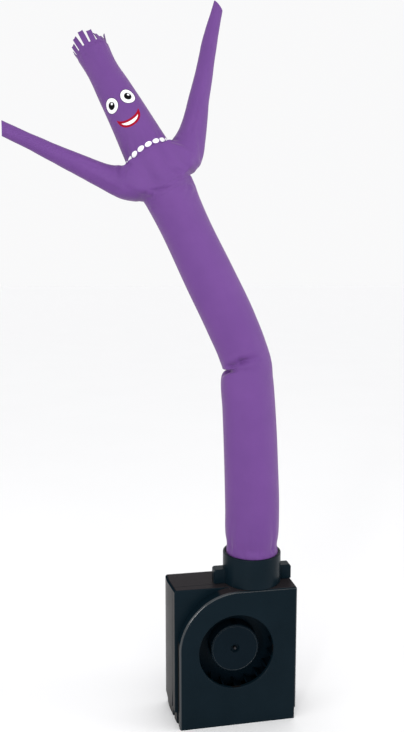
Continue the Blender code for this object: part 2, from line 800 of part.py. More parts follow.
def main():
    clear_scene()
    plastic = material("black_plastic", (0.012, 0.014, 0.018), 0.38)
    wheel_plastic = material("wheel_plastic", (0.012, 0.014, 0.018), 0.42)
    steel = material("steel", (0.45, 0.45, 0.47), 0.35, 1.0)
    can = material("motor_can", (0.35, 0.35, 0.37), 0.4, 1.0)
    cloth = material("purple_fabric", (0.17, 0.07, 0.30), 0.6)
    make_housing_front(plastic)
    make_housing_back(plastic)
    make_nozzle(plastic)
    make_motor(can)
    axis = bpy.data.objects.new("fan_axis", None)
    axis.location = (FAN_X * MM, 0.0, FAN_Z * MM)
    bpy.context.scene.collection.objects.link(axis)
    bpy.context.view_layer.update()
    for turning in (make_fan_wheel(wheel_plastic), make_shaft(steel)):
        turning.parent = axis
        turning.matrix_parent_inverse = axis.matrix_world.inverted()
    make_body_tube(cloth)
    make_chest_and_arms(cloth)
    make_head_tube(cloth)
    make_hair(cloth)


main()
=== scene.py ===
"""The air dancer as it looks while its fan runs: sewn nylon tubes with a printed face, and a black blower.

Lengths are in millimetres here and become metres where a mesh is made. The figure's sections are those of the
solids, so each piece of fabric lies on its own solid.
"""

from collections import namedtuple
from functools import partialmethod
from math import copysign, cos, exp, pi, radians, sin, tan

import bmesh
import bpy
import numpy as np
from mathutils import Matrix, Vector


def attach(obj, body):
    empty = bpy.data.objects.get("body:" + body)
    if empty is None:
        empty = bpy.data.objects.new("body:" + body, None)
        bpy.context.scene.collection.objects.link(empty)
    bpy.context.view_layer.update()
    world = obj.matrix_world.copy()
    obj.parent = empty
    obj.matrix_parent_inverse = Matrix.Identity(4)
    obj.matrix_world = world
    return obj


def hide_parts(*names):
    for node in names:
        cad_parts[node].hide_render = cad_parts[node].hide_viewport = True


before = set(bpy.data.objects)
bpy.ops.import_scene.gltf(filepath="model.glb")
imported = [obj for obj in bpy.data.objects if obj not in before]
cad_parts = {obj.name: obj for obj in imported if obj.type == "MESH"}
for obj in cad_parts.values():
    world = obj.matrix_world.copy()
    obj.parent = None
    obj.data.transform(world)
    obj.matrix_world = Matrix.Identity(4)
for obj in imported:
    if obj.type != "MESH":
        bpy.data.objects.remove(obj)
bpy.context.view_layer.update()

MM = 0.001
FIXED, TURNING = "blower_and_figure", "fan"

# Camera: a point, the turn to the right and the tilt down in radians, and the lens for a film of 36 mm
FILM = 36.0
EYE = (-105.845, -459.06, 292.425)
EYE_TURN, EYE_TILT = 0.186, 0.122
LENS = 739.0 / 732.0 * FILM

# Housing of the blower
HOUSING_D, HOUSING_H, WALL = 37.0, 91.0, 2.4
LEFT_X_PLATE, LEFT_X_BACK, RIGHT_X = -39.3, -41.5, 40.5
BACK_Y, FRONT_Y, PLATE_Y, LEAN_END_Y = HOUSING_D / 2, -HOUSING_D / 2, -9.8, 9.0
PARTING_Y, GAP = -4.0, 0.3
CORNER_R, SIDE_EDGE_R, BACK_EDGE_R = 1.6, 0.7, 1.1
FOOT_H, FOOT_STEP = 7.5, 1.2
NOTCH_TOP_Z, NOTCH_W = 21.0, 3.6

# Scroll, inlet, nozzle and fan wheel
FAN_X, FAN_Z = 0.0, 50.3
SCROLL_R_LEFT, SCROLL_R_TOP, SCROLL_EDGE_R = 37.3, HOUSING_H - FAN_Z, 1.5
INLET_R, INLET_LIP = 24.6, 0.8
NOZZLE_X, NOZZLE_R, NOZZLE_BORE_R, NOZZLE_TOP_Z = 14.2, 19.2, 17.6, 111.0
LEDGE_R, LEDGE_H = 15.5, 2.2
ROUND_STEPS = 128
FAN_AXIS, NOZZLE_AXIS = ("Y", FAN_X, FAN_Z), ("Z", NOZZLE_X, 0.0)
EAR_HALF_W, EAR_HALF_D, EAR_TOP_Z, EAR_R = 26.2, 4.0, 100.6, 1.6
RIM_EDGE_R, EAR_EDGE = 0.6, 0.5
HUB_R, HUB_Y, HUB_WALL, HUB_RECESS_R, HUB_RECESS_DEPTH = 16.0, -13.5, 1.8, 2.8, 1.6
HUB_EDGE = ((-1.4, 0), (-1.1, -0.15), (-0.5, -0.05), (-0.1, 0.4), (0, 1))
DISC_Y, DISC_R, DISC_T = -3.0, 30.5, 1.5
BLADES, BLADE_INNER_R, BLADE_T, BLADE_FRONT_Y = 20, 25.4, 1.0, -13.0
BLADE_TURN = radians(11)
SHAFT_R, SHAFT_FRONT_Y, SHAFT_BACK_Y = 1.0, -14.0, -3.0

# Fabric
CLOTH_T = 0.35
SEGMENTS, HOLE_COLUMNS, CHEST_ROWS, SEAM_BAND, CHEST_SWELL = 24, 8, 4, 0.04, 0.7
CHEST_MEAN_R, ARM_MEAN_R, TUBE_RIM_AT = 15.6, 6.5, 17.5
BODY_FINER, BODY_COLUMNS, HEAD_FINER, HEAD_COLUMNS = 6, 120, 12, 112
STRIPS, STRIP_SHARE, HAIR_BAND_H, HAIR_TURN = 14, 0.75, 1.6, radians(-2.4)
STRIP_PITCH, STRIP_STEPS, STRIP_COLUMNS, STRIP_COLUMN_W = 2 * pi / STRIPS, 10, 4, 0.9
NECK_LEAN = radians(18)
LEFT_CUFF_SLANT, RIGHT_CUFF_SLANT = radians(-22), radians(33)

# A section of a tube: its middle, its radius, its depth as a share of its width, and the rings up to the next
Section = namedtuple("Section", "x y z radius depth rings", defaults=(2,))
Fold = namedtuple("Fold", "at0 turn0 at1 turn1 deep width roll", defaults=(0.3,))
Crease = namedtuple("Crease", "x0 z0 x1 z1 bow deep width side", defaults=(-1,))
Strip = namedtuple("Strip", "lean curl length twist")


def table(kind, *rows):
    return tuple(kind(*row) for row in rows)


CHEST_BOTTOM = Section(-40.5, 3.02, 345, 16.6, 1, 0)
CHEST_TOP = Section(-51, 3.7, 363.6, 15, 1, 0)
BODY_SECTIONS = table(
    Section,
    (14.2, 0, 94, 17.1, 1),
    (14.2, 0, 107, 17.1, 1, 1),
    (14.2, 0, 111.3, 17.1, 1),
    (14.1, 0, 115.3, 16.6, 1),
    (14.1, 0, 122, 17.5, 1),
    (14.3, 0, 139, 17.9, 1, 4),
    (13, 0, 174, 17.7, 1, 4),
    (11.5, 0, 208, 17.2, 1, 4),
    (10.3, 0, 226, 16.8, 1, 4),
    (10.4, 0, 234, 15.9, 1, 5),
    (7.2, 0.2, 245, 15.8, 1),
    (0, 0.6, 262, 16.1, 1, 3),
    (-14.2, 1.5, 290.5, 16, 1, 4),
    (-31.9, 2.5, 326.8, 15.6, 1, 3),
    CHEST_BOTTOM,
)
LEFT_ARM_SECTIONS = table(
    Section,
    (-70.5, 2.6, 349.2, 9.3, 1.05),
    (-78, 2, 351.4, 7.8, 1),
    (-92, 0.6, 357.2, 6.4, 1),
    (-107, -1, 363.5, 5.4, 1),
    (-122, -2.5, 370, 4.5, 0.95),
    (-138.2, -4, 377, 4.2, 0.75, 0),
)
RIGHT_ARM_SECTIONS = table(
    Section,
    (-28, 3.2, 369.5, 10.8, 1.1),
    (-24.2, 3.8, 381.6, 8.2, 1.05),
    (-20.9, 4.8, 398, 6.6, 1),
    (-17.3, 5.9, 414.1, 5.6, 1),
    (-14.1, 7, 431, 4.9, 0.95),
    (-10.3, 8.2, 447, 4, 0.8),
    (-7.6, 8.9, 456.8, 3.4, 0.7, 0),
)
HEAD_SECTIONS = table(
    Section,
    CHEST_TOP._replace(rings=4),
    (-62.4, 7.7, 386.5, 12.7, 1),
    (-71.9, 12.4, 404.6, 11, 1),
    (-78.9, 16.6, 418, 9.7, 1),
    (-83.9, 19.8, 428.4, 10.3, 1, 0),
)
# Strips of hair, from the left side round the front: lean outwards, further curl, length, twist
HAIR_STRIPS = table(
    Strip,
    (8, 0, 3.6, 6),
    (5, 0, 5.4, -6),
    (12, 2, 6.8, 10),
    (6, 0, 8.2, -8),
    (4, 4, 6.6, 6),
    (-12, -6, 5.4, -14),
    (-16, -14, 5, 22),
    (6, 4, 5.6, -12),
    (-8, -18, 6.5, 10),
    (0, 8, 7, 12),
    (4, 8, 7.5, -9),
    (6, 4, 7.5, 7),
    (2, 6, 7, -10),
    (-6, 4, 3.5, 9),
)

# Folds of the body tube: where they are deepest, as a place along it and a turn in degrees from its left side
# to the front, where they have faded, their depth and width, and the height of the rolls beside them
BODY_FOLDS = table(
    Fold,
    (136.7, -2, 143.4, 58, 4.9, 1.9, 0),
    (135.7, 6, 140.3, 50, 2.4, 1, 0.2),
    (145.4, 34, 147.6, 84, 2.4, 1.9, 0.15),
    (147.2, 66, 146, 112, 2.2, 1.8, 0.15),
    (137.2, 2, 140.6, -85, 4.5, 2.3, 0),
    (140, -20, 146, -100, 1, 1.3, 0.2),
    (258.5, 158, 260.6, 60, 0.9, 1.5),
    (255.5, 160, 249, 112, 0.5, 1.3),
    (255.5, 30, 250, 75, 0.4, 1.3),
    (22.5, 20, 44, 34, 0.45, 1.6),
    (22.5, 75, 38, 68, 0.4, 1.4),
    (22.5, 128, 48, 118, 0.5, 1.7),
    (22.5, 190, 40, 200, 0.5, 1.6),
    (22.5, 250, 46, 262, 0.5, 1.7),
    (22.5, 310, 36, 300, 0.4, 1.4),
)
# Creases of the chest and the arms in the plane of X and Z: the end where they are deepest, the other end,
# the bow of their middle, their depth and width; a 1 at the end puts them on the back
CHEST_CREASES = table(
    Crease,
    (-25.5, 353, -45, 358.8, 1.2, 1.1, 1.3),
    (-26, 352.4, -52, 348.5, 2.2, 0.9, 1.5),
    (-26.5, 354.6, -40, 364.5, 0.8, 1, 1.5),
    (-38.6, 373, -22, 363, 1.4, 1.2, 1.5),
    (-66, 358.6, -68, 341.5, -2, 1.1, 1.6),
    (-65, 358, -57.5, 349, 0.8, 0.5, 1.3),
    (-57, 338.5, -50, 352, 1, 0.5, 1.5),
    (-58.5, 339.5, -74, 347, -1, 0.5, 1.4),
    (-72, 343, -96, 357, 1, 0.45, 1.2),
    (-84, 356.5, -112, 367, 0.6, 0.35, 0.9),
    (-20.5, 363, -22.5, 390, 0.8, 0.8, 1.5),
    (-27.5, 379, -20.5, 404, -0.6, 0.4, 1),
    (-25.5, 353, -46, 356, -1.2, 1, 1.4, 1),
    (-38.6, 373, -21.5, 362.5, 1.2, 0.8, 1.2, 1),
    (-66, 358.6, -67, 342, -1.6, 0.8, 1.3, 1),
    (-57, 338.5, -48, 354, 1, 0.6, 1.5, 1),
    (-74, 346, -100, 360, 0.8, 0.4, 1.1, 1),
    (-20.5, 368, -19.5, 398, 0.8, 0.4, 1.1, 1),
)
# Creases that run over the seam between the body and the chest
WAIST_CREASES = table(
    Crease,
    (-28, 349.4, -44, 349.8, -0.6, 0.7, 0.9),
    (-51.5, 342.6, -30, 347.6, -0.5, 1.1, 1),
    (-29, 351.5, -42, 355.5, -0.4, 0.5, 1),
    (-55.5, 340, -52.5, 347, 0.3, 0.7, 1),
    (-53, 338.5, -47, 333.5, 0.2, 0.4, 1),
    (-29.5, 345.5, -33, 337, 0.3, 0.4, 1),
)
HEAD_CREASES = table(
    Crease,
    (-65, 363, -66.5, 377, 0.6, 0.6, 1.1),
    (-61.5, 366, -64, 375, -0.4, 0.5, 0.9),
    (-57, 370.5, -58.5, 377, 0.3, 0.4, 0.8),
    (-51, 373, -55, 382, 0.5, 0.5, 1),
    (-45.5, 374, -49, 383, 0.4, 0.5, 0.9),
    (-89, 424, -85.5, 413, 0.4, 0.35, 0.9),
    (-81.5, 428, -78.5, 417, -0.4, 0.35, 0.9),
    (-58, 366, -63, 380, 0.5, 0.6, 1.2, 1),
    (-48, 371, -56, 384, -0.5, 0.6, 1.2, 1),
)


# Meshes


def new_object(name, data):
    obj = bpy.data.objects.new(name, data)
    bpy.context.scene.collection.objects.link(obj)
    return obj


def mesh_object(name, points, faces, finish=None, sharp=35.0, **maps):
    """An object from points in millimetres, its faces turned outwards; maps place each face's corners."""
    mesh = bpy.data.meshes.new(name)
    mesh.from_pydata([tuple(p) for p in np.asarray(points, float) * MM], [], faces)
    for title, places in maps.items():
        layer = mesh.uv_layers.new(name=title)
        layer.data.foreach_set("uv", np.asarray(places, float).ravel())
    shape = bmesh.new()
    shape.from_mesh(mesh)
    bmesh.ops.recalc_face_normals(shape, faces=shape.faces)
    shape.to_mesh(mesh)
    shape.free()
    mesh.shade_smooth()
    mesh.set_sharp_from_angle(angle=radians(sharp))
    if finish:
        mesh.materials.append(finish)
    return new_object(name, mesh)


def apply_modifiers(obj):
    graph = bpy.context.evaluated_depsgraph_get()
    mesh = bpy.data.meshes.new_from_object(obj.evaluated_get(graph))
    old = obj.data
    obj.modifiers.clear()
    obj.data = mesh
    bpy.data.meshes.remove(old)


def combine(target, other, operation):
    change = target.modifiers.new(operation.lower(), "BOOLEAN")
    change.operation = operation
    change.solver = "EXACT"
    change.object = other
    apply_modifiers(target)
    bpy.data.objects.remove(other)


def cut(target, other):
    combine(target, other, "DIFFERENCE")


def soften_shading(obj):
    """Large flat faces stay flat beside rounded edges, and the corners that a cut leaves are sharp."""
    obj.data.set_sharp_from_angle(angle=radians(35))
    weigh = obj.modifiers.new("even_shading", "WEIGHTED_NORMAL")
    weigh.keep_sharp = True
    weigh.weight = 90
    return obj


# Solids of the blower


def tube_faces(rings, count, first=0, closed=False):
    """Faces between rings of so many points each, which are numbered on from the first."""
    faces = []
    for k in range(rings if closed else rings - 1):
        low, high = first + k * count, first + (k + 1) % rings * count
        for i in range(count):
            j = (i + 1) % count
            faces.append((low + i, low + j, high + j, high + i))
    return faces


def solid_faces(rings, count, first=0):
    last = first + (rings - 1) * count
    caps = [tuple(range(first, first + count)), tuple(range(last, last + count))]
    return caps + tube_faces(rings, count, first)


def box_corners(u0, v0, u1, v1):
    return [(u0, v0), (u1, v0), (u1, v1), (u0, v1)]


def arc(x, z, radius, start, end, steps):
    angles = np.radians(np.linspace(start, end, steps + 1))
    return [(x + radius * cos(a), z + radius * sin(a)) for a in angles]


def loft(name, layers, finish=None):
    """A closed solid through outlines in x and z, each at its own y, with the same number of points."""
    points = [(x, y, z) for y, outline in layers for x, z in outline]
    return mesh_object(name, points, solid_faces(len(layers), len(layers[0][1])), finish)


def turned(name, profile, axis, segments, finish=None, ring=False):
    """A solid turned about an axis, from pairs of radius and place; a ring closes on itself, without caps."""
    way, *middle = axis
    points = []
    for radius, along in profile:
        for a in np.linspace(0, 2 * pi, segments, endpoint=False):
            u, v = middle[0] + radius * cos(a), middle[1] + radius * sin(a)
            points.append((u, along, v) if way == "Y" else (u, v, along))
    count = len(profile)
    faces = tube_faces(count, segments, closed=True) if ring else solid_faces(count, segments)
    return mesh_object(name, points, faces, finish)


def block(name, low, high):
    (x0, y0, z0), (x1, y1, z1) = low, high
    return loft(name, [(y, box_corners(x0, z0, x1, z1)) for y in (y0, y1)])


def left_side(y):
    share = min(1.0, max(0.0, (y - PLATE_Y) / (LEAN_END_Y - PLATE_Y)))
    return LEFT_X_PLATE + share * (LEFT_X_BACK - LEFT_X_PLATE)


def housing_outline(y, edge=0.0, inset=0.0):
    radius = max(CORNER_R - inset - edge, 0.5)
    left, right = left_side(y) + inset + edge + radius, RIGHT_X - inset - edge - radius
    low, high = inset + radius, HOUSING_H - inset - edge - radius
    return [
        *arc(right, low, radius, -90, 0, 5),
        *arc(right, high, radius, 0, 90, 6),
        *arc(left, high, radius, 90, 180, 6),
        *arc(left, low, radius, 180, 270, 5),
    ]


def scroll_outline(edge=0.0, inset=0.0):
    x0, x1 = FAN_X - SCROLL_R_LEFT + inset + edge, RIGHT_X - inset - edge
    z0, z1 = inset, HOUSING_H - inset - edge
    radius = max(CORNER_R - inset - edge, 0.5)
    growing = []
    for step in range(1, 32):
        share = step / 32
        reach = SCROLL_R_LEFT + share * (SCROLL_R_TOP - SCROLL_R_LEFT) - inset - edge
        angle = radians(180 - 90 * share)
        growing.append((FAN_X + reach * cos(angle), FAN_Z + reach * sin(angle)))
    corner = arc(x1 - radius, z1 - radius, radius, 0, 90, 6)
    return [(x1, z0), *corner, (FAN_X, z1), *growing[::-1], (x0, FAN_Z), (x0, z0)]


def rounded_end(outline_at, y_end, radius, steps, direction):
    layers = []
    for k in range(steps + 1):
        angle = radians(90 * k / steps)
        y = y_end - direction * radius * (1 - sin(angle))
        layers.append((y, outline_at(y, radius * (1 - cos(angle)))))
    return layers


def cut_foot(target):
    right = block("foot_right", (RIGHT_X - FOOT_STEP, FRONT_Y - 2, -1), (RIGHT_X + 2, BACK_Y + 2, FOOT_H))
    cut(target, right)
    layers = []
    for y in (PLATE_Y - 0.01, LEAN_END_Y, BACK_Y + 2):
        layers.append((y, box_corners(LEFT_X_BACK - 3, -1, left_side(y) + FOOT_STEP, FOOT_H)))
    cut(target, loft("foot_left", layers))


def cut_outlet(target):
    profile = [(LEDGE_R, HOUSING_H - 3 * WALL), (LEDGE_R, HOUSING_H + WALL)]
    cut(target, turned("outlet", profile, NOZZLE_AXIS, 72))


def make_housing_front(finish):
    back = PARTING_Y - GAP / 2
    shell = rounded_end(housing_outline, PLATE_Y, SIDE_EDGE_R, 4, -1)[::-1]
    half = loft("front_shell", [*shell, (back, housing_outline(back))], finish)
    scroll = rounded_end(lambda _, edge: scroll_outline(edge), FRONT_Y, SCROLL_EDGE_R, 6, -1)[::-1]
    combine(half, loft("scroll", [*scroll, (PLATE_Y + 1.0, scroll_outline())], finish), "UNION")
    tray = [(y, housing_outline(y, inset=WALL)) for y in (PLATE_Y + WALL, PARTING_Y + 2)]
    cut(half, loft("tray", tray))
    hollow = [(y, scroll_outline(inset=WALL)) for y in (FRONT_Y + WALL, PLATE_Y + WALL + 1)]
    cut(half, loft("hollow", hollow))
    lip = [(INLET_R, FRONT_Y + WALL + 1), (INLET_R, FRONT_Y + INLET_LIP)]
    lip += [
        (INLET_R + INLET_LIP * (1 - cos(a)), FRONT_Y + INLET_LIP * (1 - sin(a)))
        for a in np.radians((30, 60, 85))
    ]
    lip += [(INLET_R + INLET_LIP, FRONT_Y - 1)]
    cut(half, turned("inlet", lip, FAN_AXIS, ROUND_STEPS))
    cut_outlet(half)
    cut_foot(half)
    return soften_shading(half)


def make_housing_back(finish):
    front = PARTING_Y + GAP / 2
    shell = [(y, housing_outline(y)) for y in (front, LEAN_END_Y)]
    shell += rounded_end(housing_outline, BACK_Y, BACK_EDGE_R, 5, 1)
    half = loft("back_shell", shell, finish)
    hollow = [(y, housing_outline(y, inset=WALL)) for y in (front - 1, LEAN_END_Y, BACK_Y - WALL)]
    cut(half, loft("hollow", hollow))
    cut_outlet(half)
    cut_foot(half)
    behind = block("behind", (LEFT_X_BACK - 4, BACK_Y - FOOT_STEP, -1.5), (RIGHT_X + 3, BACK_Y + 3, FOOT_H))
    cut(half, behind)
    cut(half, make_notch(front))
    return soften_shading(half)


def make_notch(front):
    wedge = [(front - 1, -2), (front + NOTCH_W, -2), (front, NOTCH_TOP_Z), (front - 1, NOTCH_TOP_Z)]
    points = [(x, y, z) for x in (LEFT_X_BACK - 2, LEFT_X_BACK + WALL + 2) for y, z in wedge]
    return mesh_object("notch", points, solid_faces(2, 4))


def make_nozzle(finish):
    bottom, top = HOUSING_H + GAP, NOZZLE_TOP_Z
    outside = [(NOZZLE_R, bottom), *arc(NOZZLE_R - RIM_EDGE_R, top - RIM_EDGE_R, RIM_EDGE_R, 0, 90, 3)]
    collar = turned("collar", outside, NOZZLE_AXIS, ROUND_STEPS, finish)
    outline = [
        (NOZZLE_X + EAR_HALF_W, bottom),
        *arc(NOZZLE_X + EAR_HALF_W - EAR_R, EAR_TOP_Z - EAR_R, EAR_R, 0, 90, 6),
        *arc(NOZZLE_X - EAR_HALF_W + EAR_R, EAR_TOP_Z - EAR_R, EAR_R, 90, 180, 6),
        (NOZZLE_X - EAR_HALF_W, bottom),
    ]
    smaller = [
        (x + copysign(EAR_EDGE, NOZZLE_X - x), z - (EAR_EDGE if z > bottom + 1 else 0))
        for x, z in outline
    ]
    ears = [(-EAR_HALF_D, smaller), (EAR_EDGE - EAR_HALF_D, outline)]
    ears += [(EAR_HALF_D - EAR_EDGE, outline), (EAR_HALF_D, smaller)]
    combine(collar, loft("ears", ears), "UNION")
    bore = [
        (LEDGE_R, bottom - 1),
        (LEDGE_R, bottom + LEDGE_H),
        (NOZZLE_BORE_R, bottom + LEDGE_H),
        (NOZZLE_BORE_R, top - 0.3),
        (NOZZLE_BORE_R + 0.4, top + 0.1),
        (NOZZLE_BORE_R + 0.4, top + 1),
    ]
    cut(collar, turned("bore", bore, NOZZLE_AXIS, ROUND_STEPS))
    return soften_shading(collar)


def make_fan_wheel(finish):
    recess_y = HUB_Y + HUB_RECESS_DEPTH
    profile = [
        (SHAFT_R + GAP, recess_y),
        (HUB_RECESS_R - 0.3, recess_y),
        (HUB_RECESS_R, HUB_Y + 0.3),
        (HUB_RECESS_R + 0.3, HUB_Y),
        *((HUB_R + out, HUB_Y + back) for out, back in HUB_EDGE),
        (HUB_R, DISC_Y - 0.6),
        (HUB_R + 0.6, DISC_Y),
        (DISC_R, DISC_Y),
        (DISC_R, DISC_Y + DISC_T),
        (HUB_R - HUB_WALL, DISC_Y + DISC_T),
        (HUB_R - HUB_WALL, recess_y + HUB_WALL),
        (SHAFT_R + GAP, recess_y + HUB_WALL),
    ]
    wheel = turned("wheel", profile, FAN_AXIS, 120, finish, ring=True)
    points, faces = [], []
    for blade in range(BLADES):
        add_blade(points, faces, 2 * pi * blade / BLADES)
    combine(wheel, mesh_object("blades", points, faces), "UNION")
    return soften_shading(wheel)


def add_blade(points, faces, start):
    """One curved blade whose foot sinks half way into the disc."""
    side = []
    for share in np.linspace(0, 1, 7):
        radius = BLADE_INNER_R + share * (DISC_R - 0.4 - BLADE_INNER_R)
        side.append((radius, start + BLADE_TURN * share**1.6, BLADE_T / 2 / radius))
    outline = [(r, a + h) for r, a, h in side] + [(r, a - h) for r, a, h in side[::-1]]
    first, count = len(points), len(outline)
    for y in (BLADE_FRONT_Y, DISC_Y + DISC_T / 2):
        points += [(FAN_X + r * cos(a), y, FAN_Z + r * sin(a)) for r, a in outline]
    faces += solid_faces(2, count, first)


def make_pin(finish):
    """The shaft's front end, domed."""
    profile = [(0.05, SHAFT_FRONT_Y), (0.55, SHAFT_FRONT_Y + 0.08), (0.88, SHAFT_FRONT_Y + 0.4)]
    profile += [(SHAFT_R, SHAFT_FRONT_Y + 0.9), (SHAFT_R, SHAFT_BACK_Y)]
    return turned("pin", profile, FAN_AXIS, 48, finish)


# Fabric


def unit(way):
    return way / np.linalg.norm(way)


CHEST_WAY = unit(np.array(CHEST_TOP[:3]) - np.array(CHEST_BOTTOM[:3]))
NECK_WAY = unit(CHEST_WAY * cos(NECK_LEAN) + np.array([0.0, 1.0, 0.0]) * sin(NECK_LEAN))


def lengths(rows):
    """How far along the line of middles each row is."""
    return np.concatenate([[0.0], np.cumsum(np.linalg.norm(np.diff(rows[:, :3], axis=0), axis=1))])


def smooth_sections(sections, finer=1):
    rows = np.array([s[:5] for s in sections], float)
    at = lengths(rows)
    slopes = np.gradient(rows, at, axis=0)
    made = []
    for k, section in enumerate(sections[:-1]):
        width, count = at[k + 1] - at[k], section.rings * finer
        for i in range(count):
            t = i / count
            made.append(
                (2 * t**3 - 3 * t**2 + 1) * rows[k]
                + (t**3 - 2 * t**2 + t) * width * slopes[k]
                + (3 * t**2 - 2 * t**3) * rows[k + 1]
                + (t**3 - t**2) * width * slopes[k + 1]
            )
    return np.array(made + [rows[-1]])


def directions(rows):
    along = np.gradient(rows[:, :3], axis=0)
    return along / np.linalg.norm(along, axis=1)[:, None]


def frame_of(direction):
    left = unit(np.cross(direction, (0.0, 1.0, 0.0)))
    return left, np.cross(direction, left)


def valley(away, deep, width, roll):
    """A crease's cross-section: a valley, with a low roll of fabric on each side of it."""
    return deep * (np.exp(-np.abs(away / width) ** 1.6) - roll * np.exp(-((away / width - 2.3) ** 2)))


def wrapped(place, half):
    """The same place round a tube, between minus half its round and half its round."""
    return (place + half) % (2 * half) - half


def fold_depth(folds, at, turn, radius):
    """How far the folds press the fabric in, over arrays of places and turns."""
    deep = np.zeros(np.broadcast(at, turn).shape)
    turn = wrapped(turn, pi)
    for fold in folds:
        start = (fold.at0, radius * wrapped(radians(fold.turn0), pi))
        run = (fold.at1 - fold.at0, radius * radians(fold.turn1 - fold.turn0))
        across = wrapped(radius * turn - start[1], pi * radius)
        share = np.clip(((at - start[0]) * run[0] + across * run[1]) / (run[0] ** 2 + run[1] ** 2), 0, 1)
        away = np.hypot(at - start[0] - share * run[0], across - share * run[1])
        deep += valley(away, fold.deep * (1 - share) ** 0.7, fold.width, fold.roll)
    return deep


def waves(points, size, seed):
    """Smooth lumps between about -1 and 1, the same on each run."""
    rng = np.random.RandomState(seed)
    total = np.zeros(len(points))
    for _ in range(9):
        way = unit(rng.normal(size=3))
        total += np.sin(points @ way * (2 * pi / (size * rng.uniform(0.7, 1.5))) + rng.uniform(0, 6.3))
    return total / 3.0


def grid_uv(at, columns, radius):
    """Corner coordinates in millimetres: round the tube and along it."""
    step = 2 * pi * radius / columns
    uv = []
    for k in range(len(at) - 1):
        for i in range(columns):
            uv += box_corners(i * step, at[k], (i + 1) * step, at[k + 1])
    return uv


def fine_tube(name, sections, finer, columns, finish, dent, first, last=None):
    """A finely meshed tube, which dent presses in over arrays of places, turns and radii."""
    rows = smooth_sections(sections, finer)
    ways, at = directions(rows), lengths(rows)
    for k in range(2 * finer):
        share = k / (2 * finer)
        ways[k] = (1 - share) * first + share * ways[k]
        if last is not None:
            ways[-1 - k] = (1 - share) * last + share * ways[-1 - k]
    turn = np.linspace(0, 2 * pi, columns, endpoint=False)
    points = []
    for row, way, place in zip(rows, ways, at, strict=True):
        left, front = frame_of(unit(way))
        radius = row[3] - dent(place, turn, row[3], at[-1])
        ring = np.cos(turn)[:, None] * left + row[4] * np.sin(turn)[:, None] * front
        points.append(row[:3] + radius[:, None] * ring)
    uv = grid_uv(at, columns, float(rows[:, 3].mean()))
    return mesh_object(name, np.concatenate(points), tube_faces(len(rows), columns), finish, 180, cloth=uv)


def vectors_of(items, name):
    flat = np.empty(len(items) * 3)
    items.foreach_get(name, flat)
    return flat.reshape(-1, 3)


def seam_fade(points, seam, way):
    """0 on a seam's ring and 1 from a few millimetres away from it."""
    apart = points - np.array(seam[:3])
    along = apart @ way
    across = np.linalg.norm(apart - along[:, None] * way, axis=1)
    return np.clip(np.hypot(along, across - seam.radius) / 3, 0, 1)


def press_creases(obj, creases, lump, seed, seams=()):
    """Moves points along their normals: creases, and low lumps that keep the fabric from looking moulded."""
    mesh = obj.data
    places, normals = vectors_of(mesh.vertices, "co"), vectors_of(mesh.vertex_normals, "vector")
    points = places / MM
    total = lump * waves(points, 22.0, seed) + 0.3 * lump * waves(points, 8.0, seed + 1)
    for crease in creases:
        start, end = np.array(crease[:2]), np.array(crease[2:4])
        run = end - start
        side = unit(np.array((-run[1], run[0])))
        shares = np.linspace(0, 1, 25)
        line = start + shares[:, None] * run + (crease.bow * 4 * shares * (1 - shares))[:, None] * side
        away = np.linalg.norm(points[:, None, (0, 2)] - line[None], axis=2)
        share = shares[away.argmin(axis=1)]
        facing = np.clip(normals[:, 1] * crease.side * 4 + 0.4, 0, 1)
        total -= valley(away.min(axis=1), crease.deep * (1 - share) ** 0.8, crease.width, 0.25) * facing
    for seam, way in seams:
        total *= seam_fade(points, seam, way)
    places += normals * (total * MM)[:, None]
    mesh.vertices.foreach_set("co", places.ravel())
    mesh.update()


def thicken(obj):
    """Gives the sheet its thickness inwards, with crisp cut edges."""
    sheet = obj.modifiers.new("fabric", "SOLIDIFY")
    sheet.thickness = CLOTH_T * MM
    sheet.offset = -1.0
    sheet.use_even_offset = False
    apply_modifiers(obj)
    obj.data.set_sharp_from_angle(angle=radians(70))
    return obj


def seam_pinch(place, seam, turn, deep, gathers, seed):
    """A seam draws the fabric in, in small gathers that fade away from it."""
    away = abs(place - seam)
    small = sum(np.cos(k * turn + 1.7 * k + seed) for k in gathers) / len(gathers)
    return deep * exp(-((away / 1.1) ** 2)) + 0.6 * deep * exp(-away / 3.5) * small


def body_dent(place, turn, radius, length):
    dent = fold_depth(BODY_FOLDS, place, turn, radius)
    dent = dent + seam_pinch(place, length - 1.5, turn, 0.06, (17, 23, 29), 0.1)
    rim = place - TUBE_RIM_AT
    if rim > 0:
        pleats = np.cos(19 * turn + 0.8) + 0.7 * np.cos(31 * turn) + 0.5 * np.cos(11 * turn + 2)
        dent = dent + 0.22 * pleats * exp(-rim / 7.0) * min(1.0, rim / 1.5)
    slow = np.sin(2 * turn + place / 31) + np.sin(3 * turn - place / 19 + 1) + np.sin(turn + place / 47 + 2)
    return (dent + 0.16 * slow + 0.05 * np.sin(5 * turn + place / 9)) * min(1.0, (length - place) / 3)


def make_body(finish):
    up = np.array([0.0, 0.0, 1.0])
    body = fine_tube("body_cloth", BODY_SECTIONS, BODY_FINER, BODY_COLUMNS, finish, body_dent, up, CHEST_WAY)
    press_creases(body, WAIST_CREASES, lump=0.0, seed=3)
    return thicken(body)


def head_dent(place, turn, radius, length):
    dent = seam_pinch(place, 0.0, turn, 0.5, (13, 19, 27), 1.1)
    dent = dent + 0.12 * (np.sin(2 * turn + place / 17) + np.sin(3 * turn - place / 11 + 1))
    return dent + 0.12 * exp((place - length) / 5) * (np.cos(14 * turn) + 0.6 * np.cos(9 * turn + 1))


def make_head(finish):
    head = fine_tube("head_cloth", HEAD_SECTIONS, HEAD_FINER, HEAD_COLUMNS, finish, head_dent, NECK_WAY)
    press_creases(head, HEAD_CREASES, lump=0.0, seed=5)
    return thicken(head)


